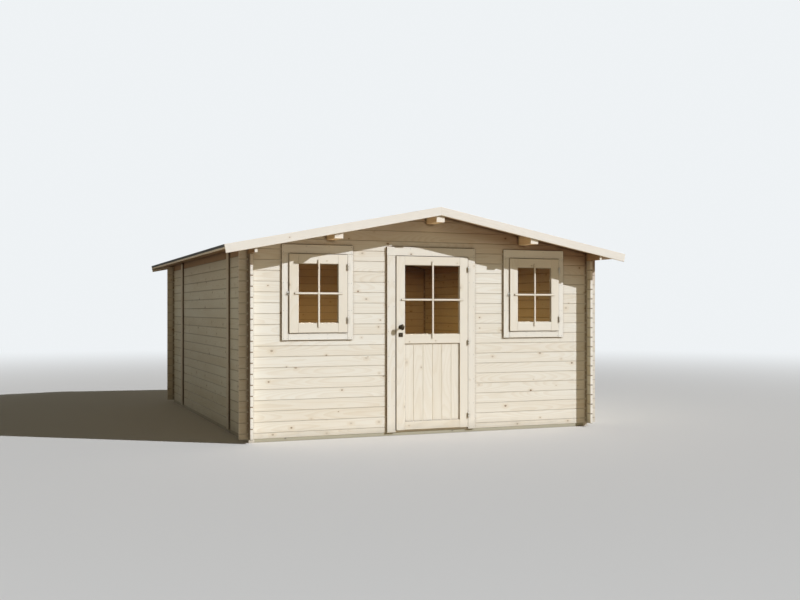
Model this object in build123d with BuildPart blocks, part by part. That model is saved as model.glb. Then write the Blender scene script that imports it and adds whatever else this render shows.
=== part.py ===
from build123d import *
import math
import os

# Garden cabin of interlocking logs, with a felted gable roof, a half-glazed door and two windows.
# Millimetres, +Z up. X runs along the front from left to right, Y from the front to the rear.
# The origin is on the ground, under the ridge, half way along the roof.

# Walls and logs
wall_width = 4140.0            # outer faces of the two side walls
wall_depth = 4920.0            # outer faces of the front and rear walls
log_thickness = 28.0
course = 114.0                 # visible height of one log
side_courses = 17              # full logs in a side wall, under its plate
sill_courses = 9               # full logs of the front wall under a window
window_courses = 8             # full logs beside a window
corner_overrun = 97.0          # how far the log ends pass the wall that they cross
joint_groove = 5.5             # width across the flats of the V joint between two logs
notch_clearance = 0.5

# Ground beams and floor
beam_height = 40.0
beam_width = 60.0
beam_setback = 5.0             # beams stand this far behind the outer faces of the walls
joist_count = 11
floor_thickness = 19.0
floor_board = 121.0
floor_gap = 2.0

# Roof
roof_pitch = 11.06             # degrees
plate_height = 86.4            # wall plate at the outer face of its wall, up to the roof boards
eave_overhang = 305.0          # from the outer face of a side wall to the end of the roof boards
front_overhang = 312.0         # from the wall to the front of the fascia
rear_overhang = 120.0
roof_board_thickness = 20.0
roof_board = 121.0
board_groove = 4.0
felt_thickness = 3.0
felt_runs = 3
felt_lap = 80.0
ridge_strip_width = 300.0      # measured over both slopes
eave_strip_height = 28.0
eave_strip_width = 45.0
fascia_thickness = 20.0
fascia_drop = 44.0             # how far the fascia hangs below the roof boards
purlin_width = 95.0
ridge_purlin_height = 118.0
side_purlin_height = 98.0
side_purlin_place = 1170.0
roof_fit = 0.3                 # gap between roof pieces that butt

# Battens on the side walls
batten_width = 110.0
batten_thickness = 21.0
front_batten_place = 953.0     # centre of a batten from the outer face of the front wall
rear_batten_place = 852.0      # the same from the rear wall

# Door and window frames
frame_depth = 60.0
jamb_thickness = 30.0
lining_thickness = 26.0
stop_width = 15.0
butt_gap = 0.3                 # joiner's gap between boards that meet
casing_head_height = 96.0
settling_gap = 18.0            # over the head, where the logs above can settle
eased_edge = 2.5               # bevel along the front edges of planed boards

# Windows
window_place = 1317.0          # centre of the casing from the middle of the front
window_casing_width = 793.0
window_casing_thickness = 16.0
window_catch_casing = 74.0
window_hinge_casing = 62.0
window_foot_casing = 73.0
sash_gap = 4.0
sash_thickness = 40.0
sash_proud = 12.0              # how far the sash stands out of the casing's face
sash_seal = 0.3                # between the closed sash and its stop
sash_member = 102.0
sash_foot_gap = 24.0           # sash bottom over the bottom of the wall opening
window_hinge_height = 72.0
window_hinge_inset = 133.0     # centre of a hinge from the end of the sash
window_hinge_radius = 6.0

# Door
door_casing_left = -523.0
door_casing_right = 551.0
door_casing_thickness = 18.0
door_latch_casing = 100.0
door_hinge_casing = 88.0
door_gap = 5.0
door_latch_gap = 7.0           # wider, for the arc that the leaf's rear edge makes
door_thickness = 40.0
door_proud = 8.0               # how far the leaf stands out of the casing's face
door_stile = 102.0
door_top_rail = 97.0
door_middle_rail = 102.0
door_bottom_rail = 90.0
door_panel_top = 955.0         # from the bottom of the leaf
threshold_height = 16.0
threshold_stop = 14.0
panel_thickness = 15.0
panel_recess = 12.0
panel_board = 115.0
panel_groove = 5.0

# Glass and bars
glass_thickness = 4.0
glass_recess = 14.0
rebate_depth = 9.0             # how deep a pane or panel sits in its frame
rebate_fit = 0.5
bar_width = 22.0
bar_thickness = 9.0
bar_overlap = 42.0             # how far a bar's end lies over the frame
bar_bevel = 4.0

# Fittings
hinge_radius = 7.0
hinge_pin_radius = 3.5
hinge_flats = 16               # sides that barrels, pins, bores and catch knobs are drawn with
hinge_pin_fit = 0.2
hinge_knuckle = 28.0
hinge_play = 1.0
hinge_flap_thickness = 2.0
hinge_flap_width = 34.0
door_hinge_inset = 135.0       # centre of the outer hinges from the ends of the leaf
knob_height = 1139.0           # from the bottom of the leaf
knob_width = 50.0
knob_length = 66.0
knob_thickness = 22.0
knob_bevel = 7.0               # round the front of the grip
knob_reach = 62.0
knob_rose_radius = 25.0
knob_rose_thickness = 7.0
knob_neck_radius = 10.0
key_plate_drop = 85.0
key_plate_width = 48.0
key_plate_height = 44.0
key_plate_thickness = 4.0
keyhole_radius = 4.0
catch_width = 20.0
catch_height = 46.0
catch_thickness = 5.0
catch_knob_radius = 6.0
catch_knob_length = 14.0

# Places worked out from the sizes above
roof_length = wall_depth + front_overhang + rear_overhang
roof_front = -roof_length / 2
roof_rear = roof_length / 2
wall_front = roof_front + front_overhang
wall_rear = wall_front + wall_depth
wall_right = wall_width / 2
inner_right = wall_right - log_thickness
inner_front = wall_front + log_thickness
inner_rear = wall_rear - log_thickness
slope = math.tan(math.radians(roof_pitch))
slant = math.cos(math.radians(roof_pitch))
side_top = beam_height + side_courses * course
roof_half_width = wall_right + eave_overhang
ridge_height = side_top + plate_height + wall_right * slope     # underside of the roof boards
sill_top = beam_height + course / 2 + sill_courses * course
gable_bottom = sill_top + window_courses * course
timber_front = roof_front + fascia_thickness + roof_fit
timber_rear = roof_rear - fascia_thickness - roof_fit
timber_length = timber_rear - timber_front
felt_end = roof_half_width / slant - eave_strip_width - roof_fit
felt_run = felt_end / felt_runs
felt_tilt = (felt_thickness + roof_fit) / felt_run      # lifts each sheet's end onto the next sheet
purlin_places = (-side_purlin_place, 0.0, side_purlin_place)
head_bottom = gable_bottom - settling_gap - lining_thickness
window_opening_left = -window_casing_width / 2 + window_catch_casing - lining_thickness
window_opening_right = window_casing_width / 2 - window_hinge_casing + lining_thickness
door_jamb_left = door_casing_left + door_latch_casing
door_jamb_right = door_casing_right - door_hinge_casing
door_opening_left = door_jamb_left - jamb_thickness
door_opening_right = door_jamb_right + jamb_thickness
leaf_left = door_jamb_left + door_latch_gap
leaf_right = door_jamb_right - door_gap
leaf_bottom = beam_height + threshold_height + door_gap
leaf_top = head_bottom - door_gap
leaf_front = wall_front - door_casing_thickness - door_proud
leaf_rear = leaf_front + door_thickness
sash_left = -window_casing_width / 2 + window_catch_casing + sash_gap
sash_right = window_casing_width / 2 - window_hinge_casing - sash_gap
sash_bottom = sill_top + sash_foot_gap
sash_top = head_bottom - sash_gap
sash_front = wall_front - window_casing_thickness - sash_proud


def facing(y):
    # plane across the building at y, drawn with X to the right and Z up; -depth extrudes to the rear
    return Plane.XZ.offset(-y)


def under_roof(x, rise=0.0):
    # height of the roof boards' underside at x, moved by rise square to the slope
    return ridge_height - abs(x) * slope + rise / slant


def joints_between(bottom, top, first):
    # heights of the joints between logs, from the first one, with one course between two
    count = round((top - first) / course)
    return [first + step * course for step in range(count + 1) if first + step * course >= bottom]


def log_section(across, bottom, top, joints):
    # section of a stack of logs: a slab with a V joint on both faces at each joint
    with Locations((across, (bottom + top) / 2)):
        Rectangle(log_thickness, top - bottom)
    with Locations([(across + side * log_thickness / 2, z) for z in joints for side in (-1, 1)]):
        Rectangle(joint_groove, joint_groove, rotation=45, mode=Mode.SUBTRACT)


def front_stack(y_middle, left, right, bottom, top, crossings):
    # logs that run along X, notched at each joint where they cross a side wall
    joints = joints_between(bottom, top, beam_height + course / 2)
    with BuildPart() as stack:
        with BuildSketch(Plane.YZ.offset(left)):
            log_section(y_middle, bottom, top, joints)
        extrude(amount=right - left)
        if crossings:
            with Locations([(x, y_middle, z) for x in crossings for z in joints]):
                Box(log_thickness + 2 * notch_clearance, 2 * log_thickness, course / 2,
                    mode=Mode.SUBTRACT)
    return stack.part


def side_wall(x_middle):
    # logs that run along Y, notched at each joint where they cross the front and rear walls
    joints = joints_between(beam_height, side_top, beam_height)
    first = wall_front - corner_overrun
    length = wall_depth + 2 * corner_overrun
    with BuildPart() as stack:
        with BuildSketch(facing(first)):
            log_section(x_middle, beam_height, side_top, joints[1:])
        extrude(amount=-length)
        crossings = (wall_front + log_thickness / 2, wall_rear - log_thickness / 2)
        with Locations([(x_middle, y, z) for y in crossings for z in joints]):
            Box(2 * log_thickness, log_thickness + 2 * notch_clearance, course / 2, mode=Mode.SUBTRACT)
    return stack.part


def purlin_outline(x, bottom, margin=0.0):
    # a purlin's section: upright sides, and a top that follows the roof
    half = purlin_width / 2 + margin
    top = [(x + half, under_roof(x + half)), (x - half, under_roof(x - half))]
    if x == 0:
        top.insert(1, (0, under_roof(0)))
    Polygon((x - half, bottom), (x + half, bottom), *top)


def purlin_bottom(x):
    height = ridge_purlin_height if x == 0 else side_purlin_height
    return under_roof(x) - height


def gable(y_front):
    # triangle of logs between the wall plates, cut out at the purlins
    half = inner_right - notch_clearance
    joints = joints_between(gable_bottom, ridge_height, beam_height + course / 2)
    with BuildPart() as stack:
        with BuildSketch(Plane.YZ.offset(-half)):
            log_section(y_front + log_thickness / 2, gable_bottom, ridge_height, joints)
        extrude(amount=2 * half)
        with BuildSketch(facing(y_front - log_thickness)):
            Polygon((-half, gable_bottom), (half, gable_bottom), (half, under_roof(half)),
                    (0, under_roof(0)), (-half, under_roof(half)))
        extrude(amount=-3 * log_thickness, mode=Mode.INTERSECT)
        for x in purlin_places:
            with BuildSketch(facing(y_front - log_thickness)):
                purlin_outline(x, purlin_bottom(x), notch_clearance)
            extrude(amount=-3 * log_thickness, mode=Mode.SUBTRACT)
    return stack.part


def wall_plate(side):
    # top log of a side wall: it reaches out to both fascias, and its top follows the roof
    outer = side * wall_right
    inner = side * inner_right
    with BuildSketch(facing(timber_front)) as section:
        Polygon((outer, side_top), (inner, side_top), (inner, under_roof(inner)),
                (outer, under_roof(outer)))
    extrude(section.sketch, amount=-timber_length)
    crossings = (wall_front + log_thickness / 2, wall_rear - log_thickness / 2)
    with Locations([(side * (wall_right - log_thickness / 2), y, side_top) for y in crossings]):
        Box(2 * log_thickness, log_thickness + 2 * notch_clearance, course / 2, mode=Mode.SUBTRACT)


def roof_slope_plane(side):
    # plane square to the slope at the ridge: X along the building, Z down the slope
    down = (side * slant, 0, -math.sin(math.radians(roof_pitch)))
    return Plane(origin=(0, 0, ridge_height), x_dir=(0, side, 0), z_dir=down)


def roof_boards(side):
    # boards laid from the ridge to the eave, with a V joint between two on the underside
    slope_length = roof_half_width / slant
    count = int(timber_length / roof_board)
    edge = (timber_length - count * roof_board) / 2
    middle = (timber_front + timber_rear) / 2
    places = [middle - timber_length / 2 + edge + step * roof_board for step in range(count + 1)]
    with BuildPart() as boards:
        with BuildSketch(roof_slope_plane(side).offset(-roof_board_thickness)):
            with Locations((side * middle, roof_board_thickness / 2)):
                Rectangle(timber_length, roof_board_thickness)
            with Locations([(side * place, 0) for place in places]):
                Rectangle(board_groove, board_groove, rotation=45, mode=Mode.SUBTRACT)
        extrude(amount=slope_length + roof_board_thickness)
        split(bisect_by=Plane.YZ.offset(side * roof_fit / 2), keep=Keep.TOP if side > 0 else Keep.BOTTOM)
    return boards.part


def slope_piece(side, start, end, low, high, tilt=0.0):
    # outline of a layer on one slope, from start to end along it and from low to high above the
    # boards' underside; tilt is how much it rises off the slope towards its end
    down = Vector(side * slant, -math.sin(math.radians(roof_pitch)))
    out = Vector(side * math.sin(math.radians(roof_pitch)), slant)
    ridge = Vector(0, ridge_height)
    lift = (end - start) * tilt
    return [tuple(ridge + down * along + out * rise)[:2]
            for along, rise in ((start, low), (end, low + lift), (end, high + lift), (start, high))]


def roofing_felt(side):
    # felt in sheets along the eave, each lapped over the one below it
    with BuildPart() as felt:
        for step in range(felt_runs):
            sheet_start = step * felt_run
            sheet_end = min(sheet_start + felt_run + felt_lap, felt_end)
            with BuildSketch(facing(timber_front)) as sheet:
                Polygon(*slope_piece(side, sheet_start, sheet_end, roof_board_thickness,
                                     roof_board_thickness + felt_thickness, felt_tilt))
            extrude(sheet.sketch, amount=-timber_length)
    return felt.part


def fascia_pair(y_front):
    # two boards that meet over the ridge in a plumb cut, with their lower ends cut square
    slope_length = roof_half_width / slant
    top = roof_board_thickness + eave_strip_height
    for side in (-1, 1):
        with BuildSketch(facing(y_front)) as outline:
            Polygon(*slope_piece(side, -fascia_drop, slope_length + roof_fit, -fascia_drop, top))
            with Locations((-side * roof_half_width, ridge_height)):
                Rectangle(2 * roof_half_width + roof_fit, 2 * roof_half_width, mode=Mode.SUBTRACT)
        extrude(outline.sketch, amount=-fascia_thickness)


def board(left, right, bottom, top, y_front, thickness, bevel=0.0):
    # board whose front face is at y_front, with a bevel on the two front edges along its grain
    upright = top - bottom > right - left
    middle = y_front + thickness / 2
    with BuildSketch(Plane.XY.offset(bottom) if upright else Plane.YZ.offset(left)) as section:
        if upright:
            with Locations(((left + right) / 2, middle)):
                Rectangle(right - left, thickness)
        else:
            with Locations((middle, (bottom + top) / 2)):
                Rectangle(thickness, top - bottom)
        if bevel:
            front = section.vertices().group_by(Axis.Y if upright else Axis.X)[0]
            chamfer(front, bevel)
    extrude(section.sketch, amount=max(top - bottom, right - left))


def pocket(left, right, bottom, top, y_front, thickness):
    # the room that a pane or panel takes inside its frame
    fit = rebate_fit
    with BuildSketch(facing(y_front - fit)) as outline:
        with Locations(((left + right) / 2, (bottom + top) / 2)):
            Rectangle(right - left + 2 * fit, top - bottom + 2 * fit)
    extrude(outline.sketch, amount=-(thickness + 2 * fit), mode=Mode.SUBTRACT)


def bars(left, right, bottom, top, y_rear):
    # a cross of bars laid on the front of the frame, over the middle of the glass
    middle_x = (left + right) / 2
    middle_z = (bottom + top) / 2
    half = bar_width / 2
    for bar_left, bar_right, bar_bottom, bar_top in (
            (middle_x - half, middle_x + half, bottom - bar_overlap, top + bar_overlap),
            (left - bar_overlap, middle_x - half - butt_gap, middle_z - half, middle_z + half),
            (middle_x + half + butt_gap, right + bar_overlap, middle_z - half, middle_z + half)):
        board(bar_left, bar_right, bar_bottom, bar_top, y_rear - bar_thickness, bar_thickness, bar_bevel)


def ease_fascia(front_face):
    # bevel along the upper and lower edges of the boards that make this face
    chamfer(front_face.edges().filter_by(lambda edge: edge.length > roof_half_width / 2), eased_edge)


def keep(piece, name):
    piece.label = name
    export_step(piece, f"parts/{name}.step")


os.makedirs("parts", exist_ok=True)

# Ground beams: one under each side wall, with joists between them
with BuildPart() as foundation_beams:
    beam_outer = wall_right - beam_setback
    beam_length = wall_depth - 2 * beam_setback
    beam_middle = (wall_front + wall_rear) / 2
    with Locations([(side * (beam_outer - beam_width / 2), beam_middle, beam_height / 2)
                    for side in (-1, 1)]):
        Box(beam_width, beam_length, beam_height)
    joist_length = 2 * (beam_outer - beam_width - butt_gap)
    joist_first = wall_front + beam_setback + beam_width / 2
    joist_pitch = (beam_length - beam_width) / (joist_count - 1)
    with Locations([(0, joist_first + step * joist_pitch, beam_height / 2)
                    for step in range(joist_count)]):
        Box(joist_length, beam_width, beam_height)
keep(foundation_beams.part, "foundation_beams")

# Floor: boards along Y with a V joint between two, cut out for the door frame
with BuildPart() as floor_boards:
    floor_half = inner_right - floor_gap
    floor_top = beam_height + floor_thickness
    board_count = int(2 * floor_half / floor_board)
    with BuildSketch(facing(inner_front + floor_gap)):
        with Locations((0, (beam_height + floor_top) / 2)):
            Rectangle(2 * floor_half, floor_thickness)
        with Locations([((step - board_count / 2) * floor_board, floor_top)
                        for step in range(board_count + 1)]):
            Rectangle(board_groove, board_groove, rotation=45, mode=Mode.SUBTRACT)
    extrude(amount=-(inner_rear - inner_front - 2 * floor_gap))
    with BuildSketch(Plane.XY):
        with Locations(((door_opening_left + door_opening_right) / 2, wall_front)):
            Rectangle(door_opening_right - door_opening_left + 2 * floor_gap,
                      2 * (frame_depth + floor_gap))
    extrude(amount=2 * floor_top, mode=Mode.SUBTRACT)
keep(floor_boards.part, "floor_boards")

# Walls of stacked logs
left_crossing = -(wall_right - log_thickness / 2)
right_crossing = -left_crossing
log_end = wall_right + corner_overrun
front_middle = wall_front + log_thickness / 2
rear_middle = wall_rear - log_thickness / 2
keep(side_wall(left_crossing), "left_wall")
keep(side_wall(right_crossing), "right_wall")
keep(front_stack(rear_middle, -log_end, log_end, beam_height, gable_bottom,
                 (left_crossing, right_crossing)), "rear_wall")
keep(front_stack(front_middle, -log_end, door_opening_left - butt_gap, beam_height, sill_top,
                 (left_crossing,)), "front_wall_low_left")
keep(front_stack(front_middle, door_opening_right + butt_gap, log_end, beam_height, sill_top,
                 (right_crossing,)), "front_wall_low_right")
keep(front_stack(front_middle, -log_end, -window_place + window_opening_left - butt_gap, sill_top,
                 gable_bottom, (left_crossing,)), "front_wall_corner_left")
keep(front_stack(front_middle, window_place + window_opening_right + butt_gap, log_end, sill_top,
                 gable_bottom, (right_crossing,)), "front_wall_corner_right")
keep(front_stack(front_middle, -window_place + window_opening_right + butt_gap,
                 door_opening_left - butt_gap, sill_top, gable_bottom, ()), "front_wall_pier_left")
keep(front_stack(front_middle, door_opening_right + butt_gap,
                 window_place + window_opening_left - butt_gap, sill_top, gable_bottom, ()),
     "front_wall_pier_right")
keep(gable(wall_front), "front_gable")
keep(gable(inner_rear), "rear_gable")

with BuildPart() as wall_plates:
    for side in (-1, 1):
        wall_plate(side)
keep(wall_plates.part, "wall_plates")

# Purlins
with BuildPart() as ridge_purlin:
    with BuildSketch(facing(timber_front)):
        purlin_outline(0, purlin_bottom(0))
    extrude(amount=-timber_length)
keep(ridge_purlin.part, "ridge_purlin")

with BuildPart() as side_purlins:
    for x in (-side_purlin_place, side_purlin_place):
        with BuildSketch(facing(timber_front)):
            purlin_outline(x, purlin_bottom(x))
        extrude(amount=-timber_length)
keep(side_purlins.part, "side_purlins")

# Roof covering
keep(roof_boards(-1), "roof_boards_left")
keep(roof_boards(1), "roof_boards_right")
keep(roofing_felt(-1), "roofing_felt_left")
keep(roofing_felt(1), "roofing_felt_right")

with BuildPart() as ridge_strip:
    strip_low = roof_board_thickness + felt_thickness + roof_fit + felt_tilt * ridge_strip_width / 2
    for side in (-1, 1):
        with BuildSketch(facing(timber_front)):
            Polygon(*slope_piece(side, -ridge_strip_width / 4, ridge_strip_width / 2, strip_low,
                                 strip_low + felt_thickness))
            with Locations((-side * ridge_strip_width, ridge_height)):
                Rectangle(2 * ridge_strip_width + roof_fit, 2 * ridge_strip_width, mode=Mode.SUBTRACT)
        extrude(amount=-timber_length)
keep(ridge_strip.part, "ridge_strip")

with BuildPart() as eave_strips:
    eave_end = roof_half_width / slant
    for side in (-1, 1):
        with BuildSketch(facing(timber_front)):
            Polygon(*slope_piece(side, eave_end - eave_strip_width, eave_end, roof_board_thickness,
                                 roof_board_thickness + eave_strip_height))
        extrude(amount=-timber_length)
keep(eave_strips.part, "eave_strips")

with BuildPart() as front_fascia:
    fascia_pair(roof_front)
    ease_fascia(front_fascia.faces().group_by(Axis.Y)[0])
keep(front_fascia.part, "front_fascia")

with BuildPart() as rear_fascia:
    fascia_pair(roof_rear - fascia_thickness)
    ease_fascia(rear_fascia.faces().group_by(Axis.Y)[-1])
keep(rear_fascia.part, "rear_fascia")

# Battens on the outside of the side walls, from the ground beam to the roof boards
with BuildPart() as wall_battens:
    for side in (-1, 1):
        near = side * wall_right
        far = side * (wall_right + batten_thickness)
        for y in (wall_front + front_batten_place, wall_rear - rear_batten_place):
            with BuildSketch(facing(y - batten_width / 2)):
                Polygon((near, beam_height), (far, beam_height), (far, under_roof(far) - roof_fit),
                        (near, under_roof(near) - roof_fit))
            extrude(amount=-batten_width)
    batten_middle = wall_right + batten_thickness / 2
    chamfer(wall_battens.edges().filter_by(Axis.Z).filter_by(
        lambda edge: abs(edge.center().X) > batten_middle), eased_edge)
keep(wall_battens.part, "wall_battens")

# Windows: casing boards on the wall, a lining through it, and a sash hung on its right edge
with BuildPart() as window_casings:
    for centre in (-window_place, window_place):
        casing_left = centre - window_casing_width / 2
        casing_right = centre + window_casing_width / 2
        foot_top = sash_bottom - sash_gap
        foot_bottom = foot_top - window_foot_casing
        casing_front = wall_front - window_casing_thickness
        casing_top = head_bottom + casing_head_height
        for left, right, bottom, top in (
                (casing_left, casing_left + window_catch_casing, foot_bottom, head_bottom - butt_gap),
                (casing_right - window_hinge_casing, casing_right, foot_bottom, head_bottom - butt_gap),
                (casing_left + window_catch_casing + butt_gap, casing_right - window_hinge_casing - butt_gap,
                 foot_bottom, foot_top),
                (casing_left, casing_right, head_bottom, casing_top)):
            board(left, right, bottom, top, casing_front, window_casing_thickness, eased_edge)
keep(window_casings.part, "window_casings")

with BuildPart() as window_frames:
    for centre in (-window_place, window_place):
        left = centre + window_opening_left
        right = centre + window_opening_right
        stop_front = sash_front + sash_thickness + sash_seal
        stop_depth = wall_front + frame_depth - stop_front
        clear_left = left + lining_thickness
        clear_right = right - lining_thickness
        sill_upper = sash_bottom - sash_gap
        for outer, inner, stop in ((left, clear_left, clear_left + stop_width),
                                   (clear_right, right, clear_right - stop_width)):
            board(outer, inner, sill_top, head_bottom + lining_thickness, wall_front, frame_depth)
            board(min(inner, outer, stop), max(outer, inner, stop), sill_top,
                  head_bottom + lining_thickness, stop_front + butt_gap, stop_depth - butt_gap)
        board(clear_left + butt_gap, clear_right - butt_gap, sill_top, sill_upper, wall_front,
              stop_front - wall_front)
        board(clear_left + stop_width + butt_gap, clear_right - stop_width - butt_gap, sill_top,
              sill_upper + stop_width, stop_front, stop_depth)
        board(clear_left + butt_gap, clear_right - butt_gap, head_bottom,
              head_bottom + lining_thickness, wall_front, stop_front - wall_front)
        board(clear_left + stop_width + butt_gap, clear_right - stop_width - butt_gap,
              head_bottom - stop_width, head_bottom + lining_thickness, stop_front, stop_depth)
keep(window_frames.part, "window_frames")

with BuildPart() as window_sashes:
    for centre in (-window_place, window_place):
        left = centre + sash_left
        right = centre + sash_right
        for stile_left in (left, right - sash_member):
            board(stile_left, stile_left + sash_member, sash_bottom, sash_top, sash_front, sash_thickness,
                  eased_edge)
        for bottom in (sash_bottom, sash_top - sash_member):
            board(left + sash_member + butt_gap, right - sash_member - butt_gap, bottom,
                  bottom + sash_member, sash_front, sash_thickness, eased_edge)
        pocket(left + sash_member - rebate_depth, right - sash_member + rebate_depth,
               sash_bottom + sash_member - rebate_depth, sash_top - sash_member + rebate_depth,
               sash_front + glass_recess, glass_thickness)
keep(window_sashes.part, "window_sashes")

with BuildPart() as window_glass:
    for centre in (-window_place, window_place):
        board(centre + sash_left + sash_member - rebate_depth,
              centre + sash_right - sash_member + rebate_depth,
              sash_bottom + sash_member - rebate_depth, sash_top - sash_member + rebate_depth,
              sash_front + glass_recess, glass_thickness)
keep(window_glass.part, "window_glass")

with BuildPart() as window_bars:
    for centre in (-window_place, window_place):
        bars(centre + sash_left + sash_member, centre + sash_right - sash_member,
             sash_bottom + sash_member, sash_top - sash_member, sash_front)
keep(window_bars.part, "window_bars")

with BuildPart() as window_hinges:
    barrel_y = sash_front - window_hinge_radius - butt_gap
    for centre in (-window_place, window_place):
        barrel_x = centre + sash_right + sash_gap / 2
        flap_x = centre + sash_right + sash_gap - hinge_flap_thickness / 2
        for z in (sash_bottom + window_hinge_inset, sash_top - window_hinge_inset):
            with BuildSketch(Plane.XY.offset(z - window_hinge_height / 2)):
                with Locations((barrel_x, barrel_y)):
                    RegularPolygon(window_hinge_radius, hinge_flats)
                with Locations((flap_x, barrel_y + hinge_flap_width / 2)):
                    Rectangle(hinge_flap_thickness, hinge_flap_width)
            extrude(amount=window_hinge_height)
keep(window_hinges.part, "window_hinges")

with BuildPart() as window_catches:
    catch_front = wall_front - window_casing_thickness - catch_thickness
    for centre in (-window_place, window_place):
        catch_x = centre + sash_left - sash_gap - catch_width / 2
        catch_z = (sash_bottom + sash_top) / 2
        board(catch_x - catch_width / 2, catch_x + catch_width / 2, catch_z - catch_height / 2,
              catch_z + catch_height / 2, catch_front, catch_thickness)
        with BuildSketch(facing(catch_front)):
            with Locations((catch_x, catch_z)):
                RegularPolygon(catch_knob_radius, hinge_flats)
        extrude(amount=catch_knob_length)
keep(window_catches.part, "window_catches")

# Door frame: jambs with a stop behind the leaf, a head, a threshold and the casing in front
jamb_top = head_bottom + lining_thickness
door_stop_front = leaf_rear + door_gap
door_stop_depth = wall_front + frame_depth - door_stop_front
with BuildPart() as door_jambs:
    for outer, inner, stop in ((door_opening_left, door_jamb_left, door_jamb_left + stop_width),
                               (door_opening_right, door_jamb_right, door_jamb_right - stop_width)):
        board(min(outer, inner), max(outer, inner), beam_height, jamb_top, wall_front, frame_depth)
        board(min(outer, stop), max(outer, stop), beam_height, jamb_top, door_stop_front,
              door_stop_depth)
keep(door_jambs.part, "door_jambs")

with BuildPart() as door_head:
    board(door_jamb_left + butt_gap, door_jamb_right - butt_gap, head_bottom, jamb_top, wall_front,
          door_stop_front - wall_front)
    board(door_jamb_left + stop_width + butt_gap, door_jamb_right - stop_width - butt_gap,
          head_bottom - stop_width, jamb_top, door_stop_front, door_stop_depth)
keep(door_head.part, "door_head")

with BuildPart() as door_threshold:
    threshold_top = beam_height + threshold_height
    board(door_jamb_left + butt_gap, door_jamb_right - butt_gap, beam_height, threshold_top,
          wall_front, door_stop_front - wall_front)
    board(door_jamb_left + stop_width + butt_gap, door_jamb_right - stop_width - butt_gap, beam_height,
          threshold_top + threshold_stop, door_stop_front, door_stop_depth)
keep(door_threshold.part, "door_threshold")

with BuildPart() as door_casing:
    casing_front = wall_front - door_casing_thickness
    for left, right, bottom, top in (
            (door_casing_left, door_jamb_left, beam_height, head_bottom - butt_gap),
            (door_jamb_right, door_casing_right, beam_height, head_bottom - butt_gap),
            (door_casing_left, door_casing_right, head_bottom, head_bottom + casing_head_height)):
        board(left, right, bottom, top, casing_front, door_casing_thickness, eased_edge)
keep(door_casing.part, "door_casing")

# Door leaf: stiles and rails around a pane above and a boarded panel below
glass_left = leaf_left + door_stile
glass_right = leaf_right - door_stile
glass_top = leaf_top - door_top_rail
panel_bottom = leaf_bottom + door_bottom_rail
panel_top = leaf_bottom + door_panel_top
glass_bottom = panel_top + door_middle_rail
with BuildPart() as door_leaf:
    for left, right in ((leaf_left, glass_left), (glass_right, leaf_right)):
        board(left, right, leaf_bottom, leaf_top, leaf_front, door_thickness, eased_edge)
    for bottom, top in ((leaf_bottom, panel_bottom), (panel_top, glass_bottom), (glass_top, leaf_top)):
        board(glass_left + butt_gap, glass_right - butt_gap, bottom, top, leaf_front, door_thickness,
              eased_edge)
    pocket(glass_left - rebate_depth, glass_right + rebate_depth, glass_bottom - rebate_depth,
           glass_top + rebate_depth, leaf_front + glass_recess, glass_thickness)
    pocket(glass_left - rebate_depth, glass_right + rebate_depth, panel_bottom - rebate_depth,
           panel_top + rebate_depth, leaf_front + panel_recess, panel_thickness)
keep(door_leaf.part, "door_leaf")

with BuildPart() as door_panel:
    panel_front = leaf_front + panel_recess
    panel_middle = (glass_left + glass_right) / 2
    half_count = int((glass_right - glass_left) / panel_board / 2)
    grooves = [panel_middle + step * panel_board for step in range(-half_count, half_count + 1)]
    with BuildSketch(Plane.XY.offset(panel_bottom - rebate_depth)):
        with Locations((panel_middle, panel_front + panel_thickness / 2)):
            Rectangle(glass_right - glass_left + 2 * rebate_depth, panel_thickness)
        with Locations([(x, y) for x in grooves for y in (panel_front, panel_front + panel_thickness)]):
            Rectangle(panel_groove, panel_groove, rotation=45, mode=Mode.SUBTRACT)
    extrude(amount=panel_top - panel_bottom + 2 * rebate_depth)
keep(door_panel.part, "door_panel")

with BuildPart() as door_glass:
    board(glass_left - rebate_depth, glass_right + rebate_depth, glass_bottom - rebate_depth,
          glass_top + rebate_depth, leaf_front + glass_recess, glass_thickness)
keep(door_glass.part, "door_glass")

with BuildPart() as door_bars:
    bars(glass_left, glass_right, glass_bottom, glass_top, leaf_front)
keep(door_bars.part, "door_bars")

# Door fittings: barrel hinges on the right edge, an oval knob and a keyhole plate on the left stile
hinge_x = leaf_right + door_gap / 2
hinge_y = leaf_front - hinge_radius - hinge_play
hinge_places = (leaf_bottom + door_hinge_inset, (leaf_bottom + leaf_top) / 2,
                leaf_top - door_hinge_inset)
with BuildPart() as door_hinge_pins:
    flap_x = door_jamb_right - hinge_flap_thickness / 2
    for z in hinge_places:
        with BuildSketch(Plane.XY.offset(z - hinge_knuckle - hinge_play / 2)):
            with Locations((hinge_x, hinge_y)):
                RegularPolygon(hinge_radius, hinge_flats)
            with Locations((flap_x, hinge_y + hinge_flap_width / 2)):
                Rectangle(hinge_flap_thickness, hinge_flap_width)
        extrude(amount=hinge_knuckle)
        with BuildSketch(Plane.XY.offset(z - hinge_play / 2)):
            with Locations((hinge_x, hinge_y)):
                RegularPolygon(hinge_pin_radius, hinge_flats)
        extrude(amount=hinge_knuckle)
keep(door_hinge_pins.part, "door_hinge_pins")

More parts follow.
